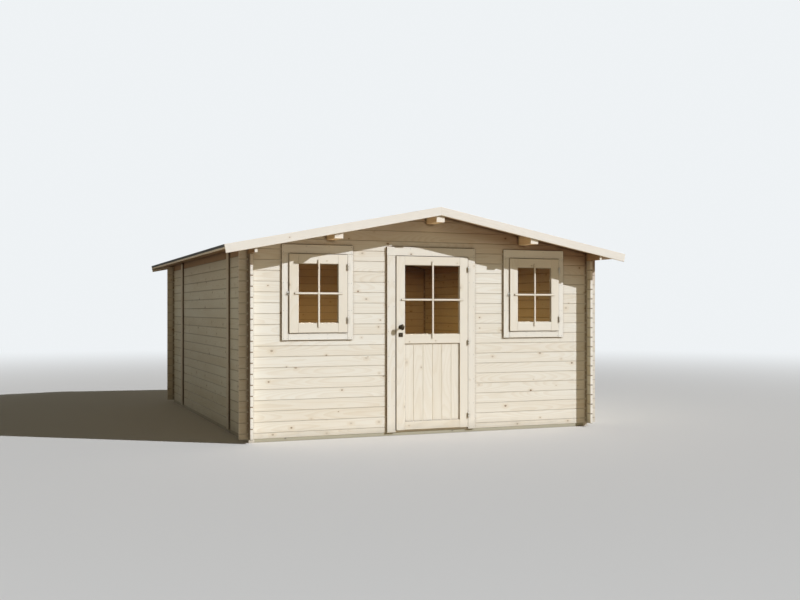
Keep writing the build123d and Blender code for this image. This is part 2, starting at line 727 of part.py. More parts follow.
with BuildPart() as door_hinge_knuckles:
    flap_x = leaf_right + hinge_flap_thickness / 2
    for z in hinge_places:
        with BuildSketch(Plane.XY.offset(z + hinge_play / 2)):
            with Locations((hinge_x, hinge_y)):
                RegularPolygon(hinge_radius, hinge_flats)
            with Locations((flap_x, hinge_y + hinge_flap_width / 2)):
                Rectangle(hinge_flap_thickness, hinge_flap_width)
            with Locations((hinge_x, hinge_y)):
                RegularPolygon(hinge_pin_radius + hinge_pin_fit, hinge_flats, major_radius=False,
                               mode=Mode.SUBTRACT)
        extrude(amount=hinge_knuckle)
keep(door_hinge_knuckles.part, "door_hinge_knuckles")

knob_x = leaf_left + door_stile / 2
knob_z = leaf_bottom + knob_height
with BuildPart() as door_knob:
    with BuildSketch(facing(leaf_front - knob_reach)):
        with Locations((knob_x, knob_z)):
            SlotOverall(knob_length, knob_width, rotation=90)
    extrude(amount=-knob_thickness)
    chamfer(door_knob.faces().sort_by(Axis.Y)[0].edges(), knob_bevel)
    with BuildSketch(facing(leaf_front)):
        with Locations((knob_x, knob_z)):
            Circle(knob_neck_radius)
    extrude(amount=knob_reach - knob_thickness / 2)
    with BuildSketch(facing(leaf_front)):
        with Locations((knob_x, knob_z)):
            Circle(knob_rose_radius)
    extrude(amount=knob_rose_thickness)
keep(door_knob.part, "door_knob")

with BuildPart() as door_keyhole_plate:
    plate_z = knob_z - key_plate_drop
    board(knob_x - key_plate_width / 2, knob_x + key_plate_width / 2, plate_z - key_plate_height / 2,
          plate_z + key_plate_height / 2, leaf_front - key_plate_thickness, key_plate_thickness)
    with BuildSketch(facing(leaf_front - key_plate_thickness)):
        with Locations((knob_x, plate_z + keyhole_radius)):
            Circle(keyhole_radius)
        with Locations((knob_x, plate_z - keyhole_radius)):
            Rectangle(keyhole_radius, 4 * keyhole_radius)
    extrude(amount=-key_plate_thickness, mode=Mode.SUBTRACT)
keep(door_keyhole_plate.part, "door_keyhole_plate")
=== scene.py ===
import math
from functools import partialmethod

import bpy
import numpy as np
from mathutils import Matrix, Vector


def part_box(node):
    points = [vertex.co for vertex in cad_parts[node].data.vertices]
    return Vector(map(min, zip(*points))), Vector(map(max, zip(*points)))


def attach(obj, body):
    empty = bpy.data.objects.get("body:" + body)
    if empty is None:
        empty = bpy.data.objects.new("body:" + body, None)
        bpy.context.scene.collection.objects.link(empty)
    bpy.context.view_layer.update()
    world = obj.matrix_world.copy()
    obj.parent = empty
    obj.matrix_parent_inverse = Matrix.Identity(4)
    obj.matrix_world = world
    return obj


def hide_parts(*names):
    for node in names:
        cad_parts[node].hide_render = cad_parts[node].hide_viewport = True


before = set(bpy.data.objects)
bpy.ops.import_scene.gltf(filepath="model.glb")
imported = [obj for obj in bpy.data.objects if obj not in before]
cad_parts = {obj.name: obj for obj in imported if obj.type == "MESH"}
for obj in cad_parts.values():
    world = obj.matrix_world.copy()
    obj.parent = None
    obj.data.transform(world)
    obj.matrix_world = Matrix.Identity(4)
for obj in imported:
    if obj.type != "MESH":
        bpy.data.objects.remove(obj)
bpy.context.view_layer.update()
print("frame loaded:", len(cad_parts), "nodes")


def colour(red, green, blue):
    # a screen colour from 0 to 255 as the linear colour that a shader takes
    def linear(value):
        share = value / 255
        return share / 12.92 if share <= 0.04045 else ((share + 0.055) / 1.055) ** 2.4
    return (linear(red), linear(green), linear(blue), 1.0)


# Sizes of the cabin in metres, where the boxes of its nodes don't give them
cabin = {
    "coursesToGable": 17.5,    # logs of the rear wall under its gable
    "sideLogs": 17,            # of a side wall
    "casingWidth": 0.793,      # of a window, over its left and right boards
    "casingLeft": 0.074,
    "casingRight": 0.062,
    "casingSill": 0.073,
    "frameLeft": 0.089,
    "frameRight": 0.077,
    "sashWidth": 0.649,
    "sashMember": 0.102,       # and of the door's leaf
    "barWidth": 0.023,
    "rebate": 0.009,
    "hairline": 0.0002,        # past a joint, so that the finish reaches it
    "doorGap": 0.005,          # over the leaf
    "doorCasingLeft": 0.100,
    "doorCasingRight": 0.088,
    "jambWidth": 0.045,
    "panelBoard": 0.115,
    "floorBoard": 0.121,
    "roofBoard": 0.121,
    "boardThickness": 0.020,
    "battenWidth": 0.110,
    "battenFirst": -1.466,
    "beamWidth": 0.066,
    "joistFirst": -2.6,
    "joistSpacing": 0.485,
    "purlinFirst": -3.0,
    "purlinSpacing": 0.6,
    "pitch": 11.06,            # degrees
    "feltThickness": 0.003,
    "feltRun": 0.79155,        # from one sheet's upper edge to the next
    "feltLap": 0.080,
    "feltRise": 0.0033,        # of a sheet off the boards, over one run
    "ridgeStripHalf": 0.150,
    "ridgeStripTop": 0.02692,
}
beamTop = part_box("foundation_beams")[1].z
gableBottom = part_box("front_gable")[0].z
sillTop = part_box("front_wall_low_left")[1].z
course = (gableBottom - beamTop) / cabin["coursesToGable"]
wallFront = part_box("front_wall_low_left")[0].y
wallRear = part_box("rear_wall")[1].y
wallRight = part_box("wall_plates")[1].x
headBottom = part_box("door_leaf")[1].z + cabin["doorGap"]
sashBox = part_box("window_sashes")
windowPlace = (sashBox[1].x - sashBox[0].x - cabin["sashWidth"]) / 2
sashOffset = (sashBox[1].x + sashBox[0].x) / 2
slope = math.tan(math.radians(cabin["pitch"]))
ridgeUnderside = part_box("ridge_purlin")[1].z
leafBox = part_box("door_leaf")
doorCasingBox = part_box("door_casing")
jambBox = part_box("door_jambs")
doorJambEdge = doorCasingBox[1].x - cabin["doorCasingRight"]
frameHalf = cabin["casingWidth"] / 2
sashLow = sashOffset - cabin["sashWidth"] / 2
sashHigh = sashOffset + cabin["sashWidth"] / 2


# The camera stands where the photograph's fitted camera stood
camera = {
    "place": (-4.4035, -12.4393, 1.3894),
    "heading": -21.85,         # degrees, turned from straight ahead to the right
    "lens": 44.07,
    "sensor": 36.0,
    "shiftY": 0.01255,
}


def makeCamera():
    # level, and turned about the upright by its heading
    data = bpy.data.cameras.new("camera")
    data.lens = camera["lens"]
    data.sensor_width = camera["sensor"]
    data.shift_y = camera["shiftY"]
    made = bpy.data.objects.new("camera", data)
    made.location = camera["place"]
    made.rotation_euler = (math.radians(90), 0, math.radians(camera["heading"]))
    bpy.context.scene.collection.objects.link(made)
    bpy.context.scene.camera = made


makeCamera()


class Graph:
    # lays nodes into a tree
    def __init__(self, tree):
        self.tree = tree

    def put(self, kind, inputs=None, **settings):
        # a new node with its settings and inputs, whose outputs come back by number and by name
        made = self.tree.nodes.new(kind)
        for name, value in settings.items():
            setattr(made, name, value)
        for name, value in (inputs or {}).items():
            if isinstance(value, Field):
                self.tree.links.new(value.socket, made.inputs[name])
            else:
                made.inputs[name].default_value = value
        return {key: Field(self, socket) for number, socket in enumerate(made.outputs)
                for key in (number, socket.name)}

    def group(self, tree, inputs):
        return self.put("ShaderNodeGroup", inputs, node_tree=tree)


class Field:
    # A value over the surface: the output of a node, on which a formula lays the next nodes
    def __init__(self, graph, socket):
        self.graph = graph
        self.socket = socket

    def calc(self, operation, *others):
        return self.graph.put("ShaderNodeMath", dict(enumerate((self, *others))), operation=operation)[0]

    __add__ = partialmethod(calc, "ADD")
    __sub__ = partialmethod(calc, "SUBTRACT")
    __mul__ = partialmethod(calc, "MULTIPLY")
    __truediv__ = partialmethod(calc, "DIVIDE")
    __abs__ = partialmethod(calc, "ABSOLUTE")
    __gt__ = partialmethod(calc, "GREATER_THAN")    # 1 where it holds, and 0 elsewhere
    __lt__ = partialmethod(calc, "LESS_THAN")
    larger = partialmethod(calc, "MAXIMUM")
    floor = partialmethod(calc, "FLOOR")
    fract = partialmethod(calc, "FRACT")
    root = partialmethod(calc, "SQRT")
    sign = partialmethod(calc, "SIGN")

    def smooth(self, low, high):
        # 0 at low and 1 at high with a soft step between
        ends = {"Value": self, "From Min": low, "From Max": high}
        return self.graph.put("ShaderNodeMapRange", ends, interpolation_type="SMOOTHSTEP")[0]

    def vector(self, operation, *others):
        inputs = dict(enumerate((self, *others)))
        return self.graph.put("ShaderNodeVectorMath", inputs, operation=operation)

    def join(self, y, z):
        return self.graph.put("ShaderNodeCombineXYZ", {0: self, 1: y, 2: z})[0]

    def split(self):
        parts = self.graph.put("ShaderNodeSeparateXYZ", {0: self})
        return parts[0], parts[1], parts[2]

    def noise(self, scale=1.0, detail=2.0):
        return self.graph.put("ShaderNodeTexNoise", {"Vector": self, "Scale": scale, "Detail": detail})

    def mix(self, first, second, blend="MIX"):
        # the first colour where this value is 0, and the second where it is 1
        ends = {0: self, 6: first, 7: second}
        return self.graph.put("ShaderNodeMix", ends, data_type="RGBA", blend_type=blend)[2]

    def pick(self, first, second):
        # the same for plain numbers
        return self.graph.put("ShaderNodeMix", {0: self, 2: first, 3: second})[0]

    def choose(self, first, second):
        # and for vectors
        return self.graph.put("ShaderNodeMix", {0: self, 4: first, 5: second}, data_type="VECTOR")[1]

    def blend(self, first, second):
        # and for shaders
        return self.graph.put("ShaderNodeMixShader", {0: self, 1: first, 2: second})[0]

    def bump(self, strength, distance, **settings):
        inputs = {"Height": self, "Strength": strength, "Distance": distance}
        return self.graph.put("ShaderNodeBump", inputs, **settings)[0]


def newGroup(name, given, made):
    # an empty node group with named sockets; given and made map socket names to kinds
    tree = bpy.data.node_groups.new(name, "ShaderNodeTree")
    for sockets, side in ((given, "INPUT"), (made, "OUTPUT")):
        for socket, kind in sockets.items():
            tree.interface.new_socket(name=socket, in_out=side, socket_type="NodeSocket" + kind)
    graph = Graph(tree)
    return graph, graph.put("NodeGroupInput")


def closeGroup(graph, results):
    graph.put("NodeGroupOutput", results)
    return graph.tree


# Sawn spruce: lengths in metres, and counts to the metre
spruce = {
    "knotsAlong": 3.1,         # cells that may hold a knot each
    "knotsAcross": 8.0,
    "knotShape": 0.7,          # its width over its length
    "knotLeast": 0.0035,       # radius
    "knotSpread": 0.0085,
    "knotBend": 0.012,         # of the rings round it
    "pithAcross": 0.11,        # how far the pith lies off the middle, by luck
    "pithDepth": 0.06,
    "swayAcross": 0.06,        # and by its own sway along the board
    "swayDepth": 0.09,
    "fibres": 330.0,
    "checks": 1.7,             # rays round the pith, to the radian
    "lateTone": 0.26,          # shares of the darker wood
    "fibreTone": 0.30,
    "broadTone": 0.75,
    "luckTone": 0.26,
    "leastTone": -0.50,
}

# Tones mixed into the wood. Painted shade: in the joints together with dust (joint), where
# surfaces meet (corner), on the side faces of bars and battens (edge), under the roof and on the
# log ends. The wood's own: the knots' rings, drying checks, sawn ends and dust
tones = {
    "joint": (0.28, 0.20, 0.125, 1.0),
    "corner": (0.18, 0.10, 0.05, 1.0),
    "edge": (0.24, 0.16, 0.10, 1.0),
    "underRoof": (0.55, 0.32, 0.12, 1.0),
    "closeToRoof": (0.28, 0.14, 0.07, 1.0),
    "logEnds": (0.22, 0.14, 0.08, 1.0),
    "knotRing": (0.05, 0.03, 0.02, 1.0),
    "check": (0.10, 0.07, 0.045, 1.0),
    "sawn": colour(244, 232, 212),
    "dust": colour(176, 166, 146),
}


def makeTimberGroup():
    # Place is along, across and into the board in metres, from its middle. Growth rings are
    # circles round a pith that wanders along the board, knots bend them, and the ends show the
    # same rings with drying checks.
    graph, given = newGroup(
        "timber",
        {"Place": "Vector", "Board": "Float", "End": "Float", "Light": "Color", "Dark": "Color",
         "Knot": "Color", "Sawn": "Color", "Ring": "Float", "Contrast": "Float", "Knots": "Float"},
        {"Color": "Color", "Roughness": "Float", "Height": "Float"})
    board, end = given["Board"], given["End"]
    along, across, depth = given["Place"].split()
    luck = graph.put("ShaderNodeTexWhiteNoise", {"W": board}, noise_dimensions="1D")["Color"]
    luckAlong, luckPith, luckTone = luck.split()
    run = along + luckAlong * 37.0

    # Knots: one chance in each cell of a grid that is stretched along the board
    girth = (across + depth) * spruce["knotsAcross"]
    cells = (run * spruce["knotsAlong"]).join(girth + board * 3.17, 0.0)
    spots = graph.put("ShaderNodeTexVoronoi", {"Vector": cells, "Scale": 1.0}, voronoi_dimensions="2D")
    chance, size, strength = spots["Color"].split()
    awayX, awayY = cells.vector("SUBTRACT", spots["Position"])[0].split()[:2]
    awayX = awayX * (spruce["knotShape"] / spruce["knotsAlong"])
    awayY = awayY * (1 / spruce["knotsAcross"])
    away = (awayX * awayX + awayY * awayY).root()
    there = chance < given["Knots"]
    reach = away / (size * spruce["knotSpread"] + spruce["knotLeast"])
    core = there * reach.smooth(1.15, 0.75)
    halo = there * reach.smooth(4.5, 0.8)

    # Rings
    sway = (run * 0.6).join(across * 1.6, board).noise(detail=1.0)[1].split()
    pithAcross = across + (luckPith - 0.5) * spruce["pithAcross"] + (sway[0] - 0.5) * spruce["swayAcross"]
    pithDepth = depth + luckTone * spruce["pithDepth"] + 0.02 + (sway[1] - 0.5) * spruce["swayDepth"]
    rings = (pithAcross * pithAcross + pithDepth * pithDepth).root()
    bent = rings + halo * halo * spruce["knotBend"]
    wobble = (run * 2.2).join(across * 24.0, luckTone).noise()[0]
    year = (bent / given["Ring"] + wobble * 0.8).fract()
    late = year.smooth(0.30, 0.90) * year.smooth(1.0, 0.95)
    fibre = (run * 7.0).join(across * spruce["fibres"], depth * spruce["fibres"]).noise()[0]
    broad = (run * 0.9).join(across * 6.0, board * 7.3).noise(detail=3.0)[0]

    # Drying checks run out from the pith on the ends
    turn = pithDepth.calc("ARCTAN2", pithAcross) * spruce["checks"]
    ray = (turn + luckPith * 9.0 + wobble * 0.3).fract()
    check = end * abs(ray - 0.5).smooth(0.030, 0.008)

    amount = (late * spruce["lateTone"] + fibre * spruce["fibreTone"] + broad * spruce["broadTone"]
              + luckTone * spruce["luckTone"] + spruce["leastTone"])
    grain = graph.put("ShaderNodeClamp", {0: amount * given["Contrast"]})[0]
    base = grain.mix(given["Light"], given["Dark"])
    base = (halo * 0.30).mix(base, given["Dark"])
    heart = ((away * 420.0).fract() * 0.45).mix(given["Knot"], tones["knotRing"])
    base = (core * (strength * 0.75 + 0.2)).mix(base, heart)
    base = (end * 0.8).mix(base, given["Sawn"])
    base = (check * 0.4).mix(base, tones["check"])
    return closeGroup(graph, {"Color": base,
                              "Roughness": fibre * 0.14 + 0.58 + end * 0.12 - core * 0.15,
                              "Height": fibre * 0.5 - late * 0.35 - core * 0.4 - check * 2.0})


def makeJointGroup():
    # Painted shade and dust in the V joints between boards: darker within Width of the joint
    graph, given = newGroup(
        "jointShade",
        {"Color": "Color", "Place": "Vector", "Distance": "Float", "Width": "Float", "Shade": "Float"},
        {"Color": "Color"})
    near = given["Distance"].smooth(given["Width"], given["Width"] * 0.25)
    amount = near * given["Shade"] * (given["Place"].noise(9.0, 3.0)[0] * 0.6 + 0.7)
    return closeGroup(graph, {"Color": amount.mix(given["Color"], tones["joint"], "MULTIPLY")})


def makeGroundGroup():
    # Rain splash and dust greys the lowest hand's breadth, with a ragged upper edge
    graph, given = newGroup(
        "groundDust", {"Color": "Color", "Place": "Vector", "Reach": "Float", "Dust": "Color"},
        {"Color": "Color"})
    ragged = given["Place"].split()[2] + given["Place"].noise(5.0, 4.0)[0] * 0.16 - 0.08
    mask = ragged.smooth(given["Reach"], 0.0)
    return closeGroup(graph, {"Color": (mask * 0.45).mix(given["Color"], given["Dust"])})


def makeEdgeGroup():
    # Worn edges: where a normal that is averaged over Radius leaves the face's own normal
    graph, given = newGroup("edgeWear", {"Radius": "Float", "Place": "Vector"}, {"Mask": "Float"})
    averaged = graph.put("ShaderNodeBevel", {"Radius": given["Radius"]}, samples=4)[0]
    flat = graph.put("ShaderNodeNewGeometry")["True Normal"]
    worn = averaged.vector("DOT_PRODUCT", flat)["Value"].smooth(0.995, 0.85)
    return closeGroup(graph, {"Mask": worn * given["Place"].noise(60.0, 3.0)[0].smooth(0.30, 0.62)})


def makeCornerGroup():
    # Painted shade where surfaces meet: the less of a small half sphere is open, the darker
    graph, given = newGroup("cornerShade", {"Color": "Color", "Reach": "Float", "Shade": "Float"},
                            {"Color": "Color"})
    free = graph.put("ShaderNodeAmbientOcclusion", {"Distance": given["Reach"]}, samples=6)["AO"]
    near = free.smooth(0.94, 0.48) * given["Shade"]
    return closeGroup(graph, {"Color": near.mix(given["Color"], tones["corner"], "MULTIPLY")})


timberGroup = makeTimberGroup()
cornerGroup = makeCornerGroup()
jointGroup = makeJointGroup()
groundGroup = makeGroundGroup()
edgeGroup = makeEdgeGroup()


def newMaterial(name):
    # an empty material, and the graph to fill it
    made = bpy.data.materials.new(name)
    made.use_nodes = True
    made.node_tree.nodes.clear()
    return made, Graph(made.node_tree)


def boardCells(value, first, pitch):
    # number of the board, place across it from its middle, and distance to its nearest joint
    steps = (value - first) * (1 / pitch)
    number = steps.floor()
    middle = steps - number - 0.5
    return number, middle * pitch, (abs(middle) * -1.0 + 0.5) * pitch


def overRoof(x, z):
    # height over the underside of the roof: z + slope |x|, less the ridge's own height
    return z + abs(x) * slope - ridgeUnderside


# Each kind of board counts from a number of its own, and some of its parts add to it, so that no
# two boards share their grain
counts = {"toTheRight": 17.0, "pastWindow": 31.0, "rearWall": 43.0, "rightWall": 59.0, "rightSlope": 71.0,
          "rightHalf": 3.0, "rearHalf": 5.0, "rightBeam": 9.0, "level": 20.0, "window": 7.0,
          "sideLogs": 101.0, "purlins": 211.0, "roofBoards": 307.0, "fascias": 401.0, "battens": 421.0,
          "groundBeams": 431.0, "floor": 503.0, "panel": 541.0, "leaf": 601.0, "doorBars": 611.0,
          "doorCasing": 621.0, "doorJambs": 641.0, "casings": 661.0, "frames": 683.0, "sashes": 701.0,
          "bars": 727.0}


# A layout takes a point and its normal, and gives the place in the board, the board's number, how
# much the face is an end, and the distance to the nearest joint, or None where no boards join

def frontLogs(at, normal):
    # logs along X; the front wall's are cut at its door and windows, so each length has its own grain
    x, y, z = at
    number, across, joint = boardCells(z, beamTop - course / 2, course)
    cut = (y < 0.0) * (z < gableBottom)
    right = (x > 0.0) * counts["toTheRight"] * cut
    outer = (abs(x) > windowPlace) * counts["pastWindow"] * cut * (z > sillTop)
    board = number + right + outer + (y > 0.0) * counts["rearWall"]
    return x.join(across, y - y.sign() * wallRear), board, normal[0], joint


def sideLogs(at, normal):
    # logs along Y, half a course off the front's
    x, y, z = at
    number, across, joint = boardCells(z, beamTop, course)
    board = number + (x > 0.0) * counts["rightWall"] + counts["sideLogs"]
    return y.join(across, abs(x) - wallRight), board, normal[1], joint


def lengthwise(at, normal):
    # purlins and wall plates along Y, told apart by their place across the roof
    x, y, z = at
    number, across = boardCells(x, cabin["purlinFirst"], cabin["purlinSpacing"])[:2]
    return y.join(overRoof(x, z), across), number + counts["purlins"], normal[1], None


def downSlope(at, normal):
    # roof boards from the ridge to the eave
    x, y, z = at
    number, across, joint = boardCells(y, -wallRear, cabin["roofBoard"])
    board = number + (x > 0.0) * counts["rightSlope"] + counts["roofBoards"]
    return abs(x).join(across, overRoof(x, z)), board, normal[0], joint


def quarterBoard(x, y, kind):
    # number of a board that is alone in its quarter of the plan
    return (x > 0.0) * counts["rightHalf"] + (y > 0.0) * counts["rearHalf"] + counts[kind]


def fasciaBoards(at, normal):
    # along X, with their width measured from the roof's underside
    x, y, z = at
    thick = abs(y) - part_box("rear_fascia")[1].y
    return x.join(overRoof(x, z), thick), quarterBoard(x, y, "fascias"), normal[0], None


def battenBoards(at, normal):
    # upright, and told apart by their quarter of the plan
    x, y, z = at
    across = boardCells(y, cabin["battenFirst"], cabin["battenWidth"])[1]
    return z.join(across, abs(x) - wallRight), quarterBoard(x, y, "battens"), normal[2], None


def groundBeams(at, normal):
    # two beams along Y under the side walls, and joists along X between them
    x, y, z = at
    beam = abs(x) > wallRight - cabin["beamWidth"]
    number, across = boardCells(y, cabin["joistFirst"], cabin["joistSpacing"])[:2]
    board = beam * (x > 0.0) * counts["rightBeam"] + number + counts["groundBeams"]
    place = beam.choose(x.join(across, z), y.join(abs(x) - wallRight, z))
    return place, board, beam.pick(normal[0], normal[1]), None


def floorBoards(at, normal):
    # the cabin's middle lies at half a board
    x, y, z = at
    number, across, joint = boardCells(x, -16.5 * cabin["floorBoard"], cabin["floorBoard"])
    return y.join(across, z), number + counts["floor"], normal[1], joint


def panelBoards(at, normal):
    # the panel's middle lies at a joint
    x, y, z = at
    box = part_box("door_panel")
    first = (box[0].x + box[1].x) / 2 - 3 * cabin["panelBoard"]
    number, across, joint = boardCells(x, first, cabin["panelBoard"])
    return z.join(across, y), number + counts["panel"], normal[2], joint


def framedBoards(kind, low, high, left, right, headFrom=9.0, isWindow=False, inBars=False):
    # Boards that stand at both sides of a frame and lie above and below its opening. Low and high
    # are the frame's ends along X, for a window as seen from its own middle, left and right the
    # widths of its uprights, and headFrom is where a head lies over them. In bars, one upright of
    # the left width stands in the middle.
    def layOut(at, normal):
        x, y, z = at
        local = x - x.sign() * windowPlace if isWindow else x
        if inBars:
            upright = abs(local - (low + high) / 2) < left / 2
        else:
            upright = (local < low + left).larger(local > high - right) * (z < headFrom)
        sideways = (local > (low + high) / 2) * counts["rightHalf"]
        board = upright.pick((z * 2.0).floor() + counts["level"], sideways)
        if isWindow:
            board = board + x.sign() * counts["window"]
        place = upright.choose(x.join(z, y), z.join(local - low, y))
        return place, board + counts[kind], upright.pick(normal[0], normal[2]), None
    return layOut


def timberLook(light, dark, knot, **changes):
    # Light and dark wood, its knots, its ring width in metres, and how strong each effect is. The
    # seam shade is painted shade and dust in the joints; the end seam, corner, side, roof, cheek and
    # stub shades are painted shade. The lean takes the painted shade under the roof from left to
    # right, the cheek and stub shades are on the log ends, and bare ends keep that painted shade off
    # the sawn ends
    look = {"ring": 0.0040, "contrast": 1.0, "knots": 0.34, "seamWidth": 0.005, "seamShade": 0.4,
            "endSeam": 0.0, "cornerShade": 0.6, "edgeShade": 0.8, "roofShade": 0.0, "lean": 0.0,
            "cheekShade": 0.0, "stubShade": 0.0, "bareEnds": 0.0}
    look.update(changes, light=colour(*light), dark=colour(*dark), knot=colour(*knot))
    return look


timberLooks = {
    "logs": timberLook((234, 224, 203), (206, 179, 135), (146, 112, 78), ring=0.0042, contrast=0.66,
                       seamWidth=0.0065, seamShade=0.42, cornerShade=0.95, roofShade=0.31, lean=2.0,
                       stubShade=0.17),
    # the side walls' colours lean greener than the front logs': painted sky light on the shaded wall
    "sideLogs": timberLook((227, 222, 202), (193, 173, 133), (84, 52, 28), ring=0.0042, contrast=0.95,
                           knots=0.46, seamWidth=0.009, seamShade=0.5, endSeam=0.65, cornerShade=0.8,
                           roofShade=0.24, lean=0.8, cheekShade=0.74),
    "trim": timberLook((236, 227, 208), (212, 190, 153), (140, 104, 70), ring=0.0036, contrast=0.65,
                       knots=0.10, cornerShade=0.95),
    "fascia": timberLook((238, 227, 208), (220, 198, 164), (168, 134, 100), ring=0.0036, contrast=0.50,
                         knots=0.04, cornerShade=0.75),
    "joinery": timberLook((234, 222, 199), (211, 188, 148), (146, 112, 80), ring=0.0030, contrast=0.56,
                          knots=0.20, seamShade=0.05, cornerShade=0.30),
    # purlins: their own wood, warmed towards orange to stand for warm bounced light on their shaded sides,
    # so partly painted light
    "purlins": timberLook((246, 218, 174), (216, 172, 114), (124, 84, 50), ring=0.0045, contrast=0.95),
    "plates": timberLook((236, 218, 182), (206, 176, 130), (124, 84, 50), ring=0.0045, contrast=0.95,
                         roofShade=0.50, bareEnds=1.0),
    "roofBoards": timberLook((226, 208, 176), (190, 156, 108), (112, 72, 42), knots=0.40,
                             seamWidth=0.006, seamShade=0.7, roofShade=0.50, bareEnds=1.0),
    "floor": timberLook((222, 200, 164), (184, 150, 104), (110, 74, 46), seamShade=0.8),
    "groundBeams": timberLook((190, 182, 148), (148, 140, 108), (70, 58, 38), ring=0.0050, knots=0.30,
                              seamShade=0.5, cornerShade=0.5),
}
timberLooks["panel"] = dict(timberLooks["joinery"], cornerShade=0.95)

# Where painted shade falls: heights over the roof's underside, the span of the lean, and steps
# past the faces of the front and rear walls and of the side walls
deepForm = {"under": (-0.50, -0.03), "close": (-0.23, -0.07), "leanOver": (-2.0, 2.0),
            "pastWalls": (-0.006, 0.004), "pastSides": (0.002, 0.012)}


def deepened(shown, at, facing, look):
    # Painted shade, deeper and redder close under the roof, where a look may ask for more of it to
    # the right than to the left, and painted shade on the outer cheeks of the log ends that stand out
    # past the front and rear walls, and on those that stand out past the side walls
    x, y, z = at
    amount = ((x.smooth(*deepForm["leanOver"]) - 0.5) * look["lean"] + 1.0) * look["roofShade"]
    for reach, tone in (("under", "underRoof"), ("close", "closeToRoof")):
        share = overRoof(x, z).smooth(*deepForm[reach]) * amount
        shown = share.mix(shown, tones[tone], "MULTIPLY")
    middle, half = (wallRear + wallFront) / 2, (wallRear - wallFront) / 2
    past = (abs(y - middle) - half).smooth(*deepForm["pastWalls"])
    cheek = past * (facing[0] * x.sign()).smooth(0.5, 0.9) * look["cheekShade"]
    stub = (abs(x) - wallRight).smooth(*deepForm["pastSides"]) * look["stubShade"]
    return cheek.larger(stub).mix(shown, tones["logEnds"], "MULTIPLY")


def timberMaterial(name, layOut, looks, edges=()):
    # edges: the axes along which a board's side faces get painted shade
    made, graph = newMaterial(name)
    look = timberLooks[looks]
    source = graph.put("ShaderNodeTexCoord")
    at, facing = source["Object"].split(), source["Normal"].split()
    normal = [abs(part) for part in facing]
    place, board, endwise, joint = layOut(at, normal)
    end = endwise.smooth(0.75, 0.92)
    wood = graph.group(timberGroup, {
        "Place": place, "Board": board, "End": end, "Light": look["light"], "Dark": look["dark"],
        "Knot": look["knot"], "Sawn": tones["sawn"], "Ring": look["ring"],
        "Contrast": look["contrast"], "Knots": look["knots"]})
    shown, cornerShade = wood["Color"], look["cornerShade"]
    # painted shade and dust in the joints, with more painted shade on the sawn ends' joints; the painted
    # corner shade is kept out of the joints
    if joint is not None:
        shown = graph.group(jointGroup, {
            "Color": shown, "Place": source["Object"], "Distance": joint, "Width": look["seamWidth"],
            "Shade": end * look["endSeam"] + look["seamShade"]})["Color"]
        cornerShade = joint.smooth(look["seamWidth"] * 0.6, look["seamWidth"] * 1.6) * cornerShade
    # painted shade under the roof and on the log ends, kept off the sawn ends as far as bareEnds asks
    if look["roofShade"]:
        shown = (end * look["bareEnds"]).mix(deepened(shown, at, facing, look), shown)
    # painted shade on the board's side faces
    for axis in edges:
        share = normal[axis].smooth(0.6, 0.95) * look["edgeShade"]
        shown = share.mix(shown, tones["edge"], "MULTIPLY")
    # painted shade where surfaces meet
    shown = graph.group(cornerGroup, {"Color": shown, "Reach": 0.045, "Shade": cornerShade})["Color"]
    shown = graph.group(groundGroup, {"Color": shown, "Place": source["Object"], "Reach": 0.16,
                                      "Dust": tones["dust"]})["Color"]
    skin = graph.put("ShaderNodeBsdfPrincipled", {
        "Base Color": shown, "Roughness": wood["Roughness"], "Specular IOR Level": 0.35,
        "Normal": wood["Height"].bump(0.7, 0.0008)})
    graph.put("ShaderNodeOutputMaterial", {"Surface": skin[0]})
    return made


# Metal: bare plated steel on the hinges, dark lacquer worn to brass at the edges on the door
metalLooks = {
    "hinges": {"base": colour(186, 178, 162), "stain": colour(146, 136, 118),
               "worn": colour(216, 212, 202), "metallic": 0.9, "rough": 0.38},
    "furniture": {"base": colour(74, 62, 44), "stain": colour(42, 35, 27),
                  "worn": colour(160, 130, 84), "metallic": 0.85, "rough": 0.33},
    "nails": {"base": colour(158, 154, 146), "stain": colour(120, 110, 96),
              "worn": colour(190, 186, 178), "metallic": 0.8, "rough": 0.45},
    "clouts": {"base": colour(120, 122, 124), "stain": colour(82, 80, 78),
               "worn": colour(160, 160, 158), "metallic": 0.7, "rough": 0.55},
}


def metalMaterial(name):
    # blotches of stain, fine upright brushing, and wear at the edges
    look = metalLooks[name]
    made, graph = newMaterial(name)
    place = graph.put("ShaderNodeTexCoord")["Object"]
    blotch = place.noise(55.0, 4.0)[0]
    brushed = place.vector("MULTIPLY", (900.0, 900.0, 40.0))[0].noise()[0]
    worn = graph.group(edgeGroup, {"Radius": 0.0012, "Place": place})["Mask"]
    base = blotch.smooth(0.42, 0.72).mix(look["base"], look["stain"])
    skin = graph.put("ShaderNodeBsdfPrincipled", {
        "Base Color": (worn * 0.8).mix(base, look["worn"]), "Metallic": look["metallic"],
        "Roughness": blotch * 0.16 + (look["rough"] - 0.08) + brushed * 0.10,
        "Normal": brushed.bump(0.25, 0.0002)})
    graph.put("ShaderNodeOutputMaterial", {"Surface": skin[0]})
    return made


# Roofing felt: slate granules pressed into bitumen
feltLook = {"granule": colour(88, 88, 88), "pale": colour(126, 126, 126), "bitumen": colour(40, 40, 42),
            "granules": 520.0, "dust": colour(120, 118, 110)}


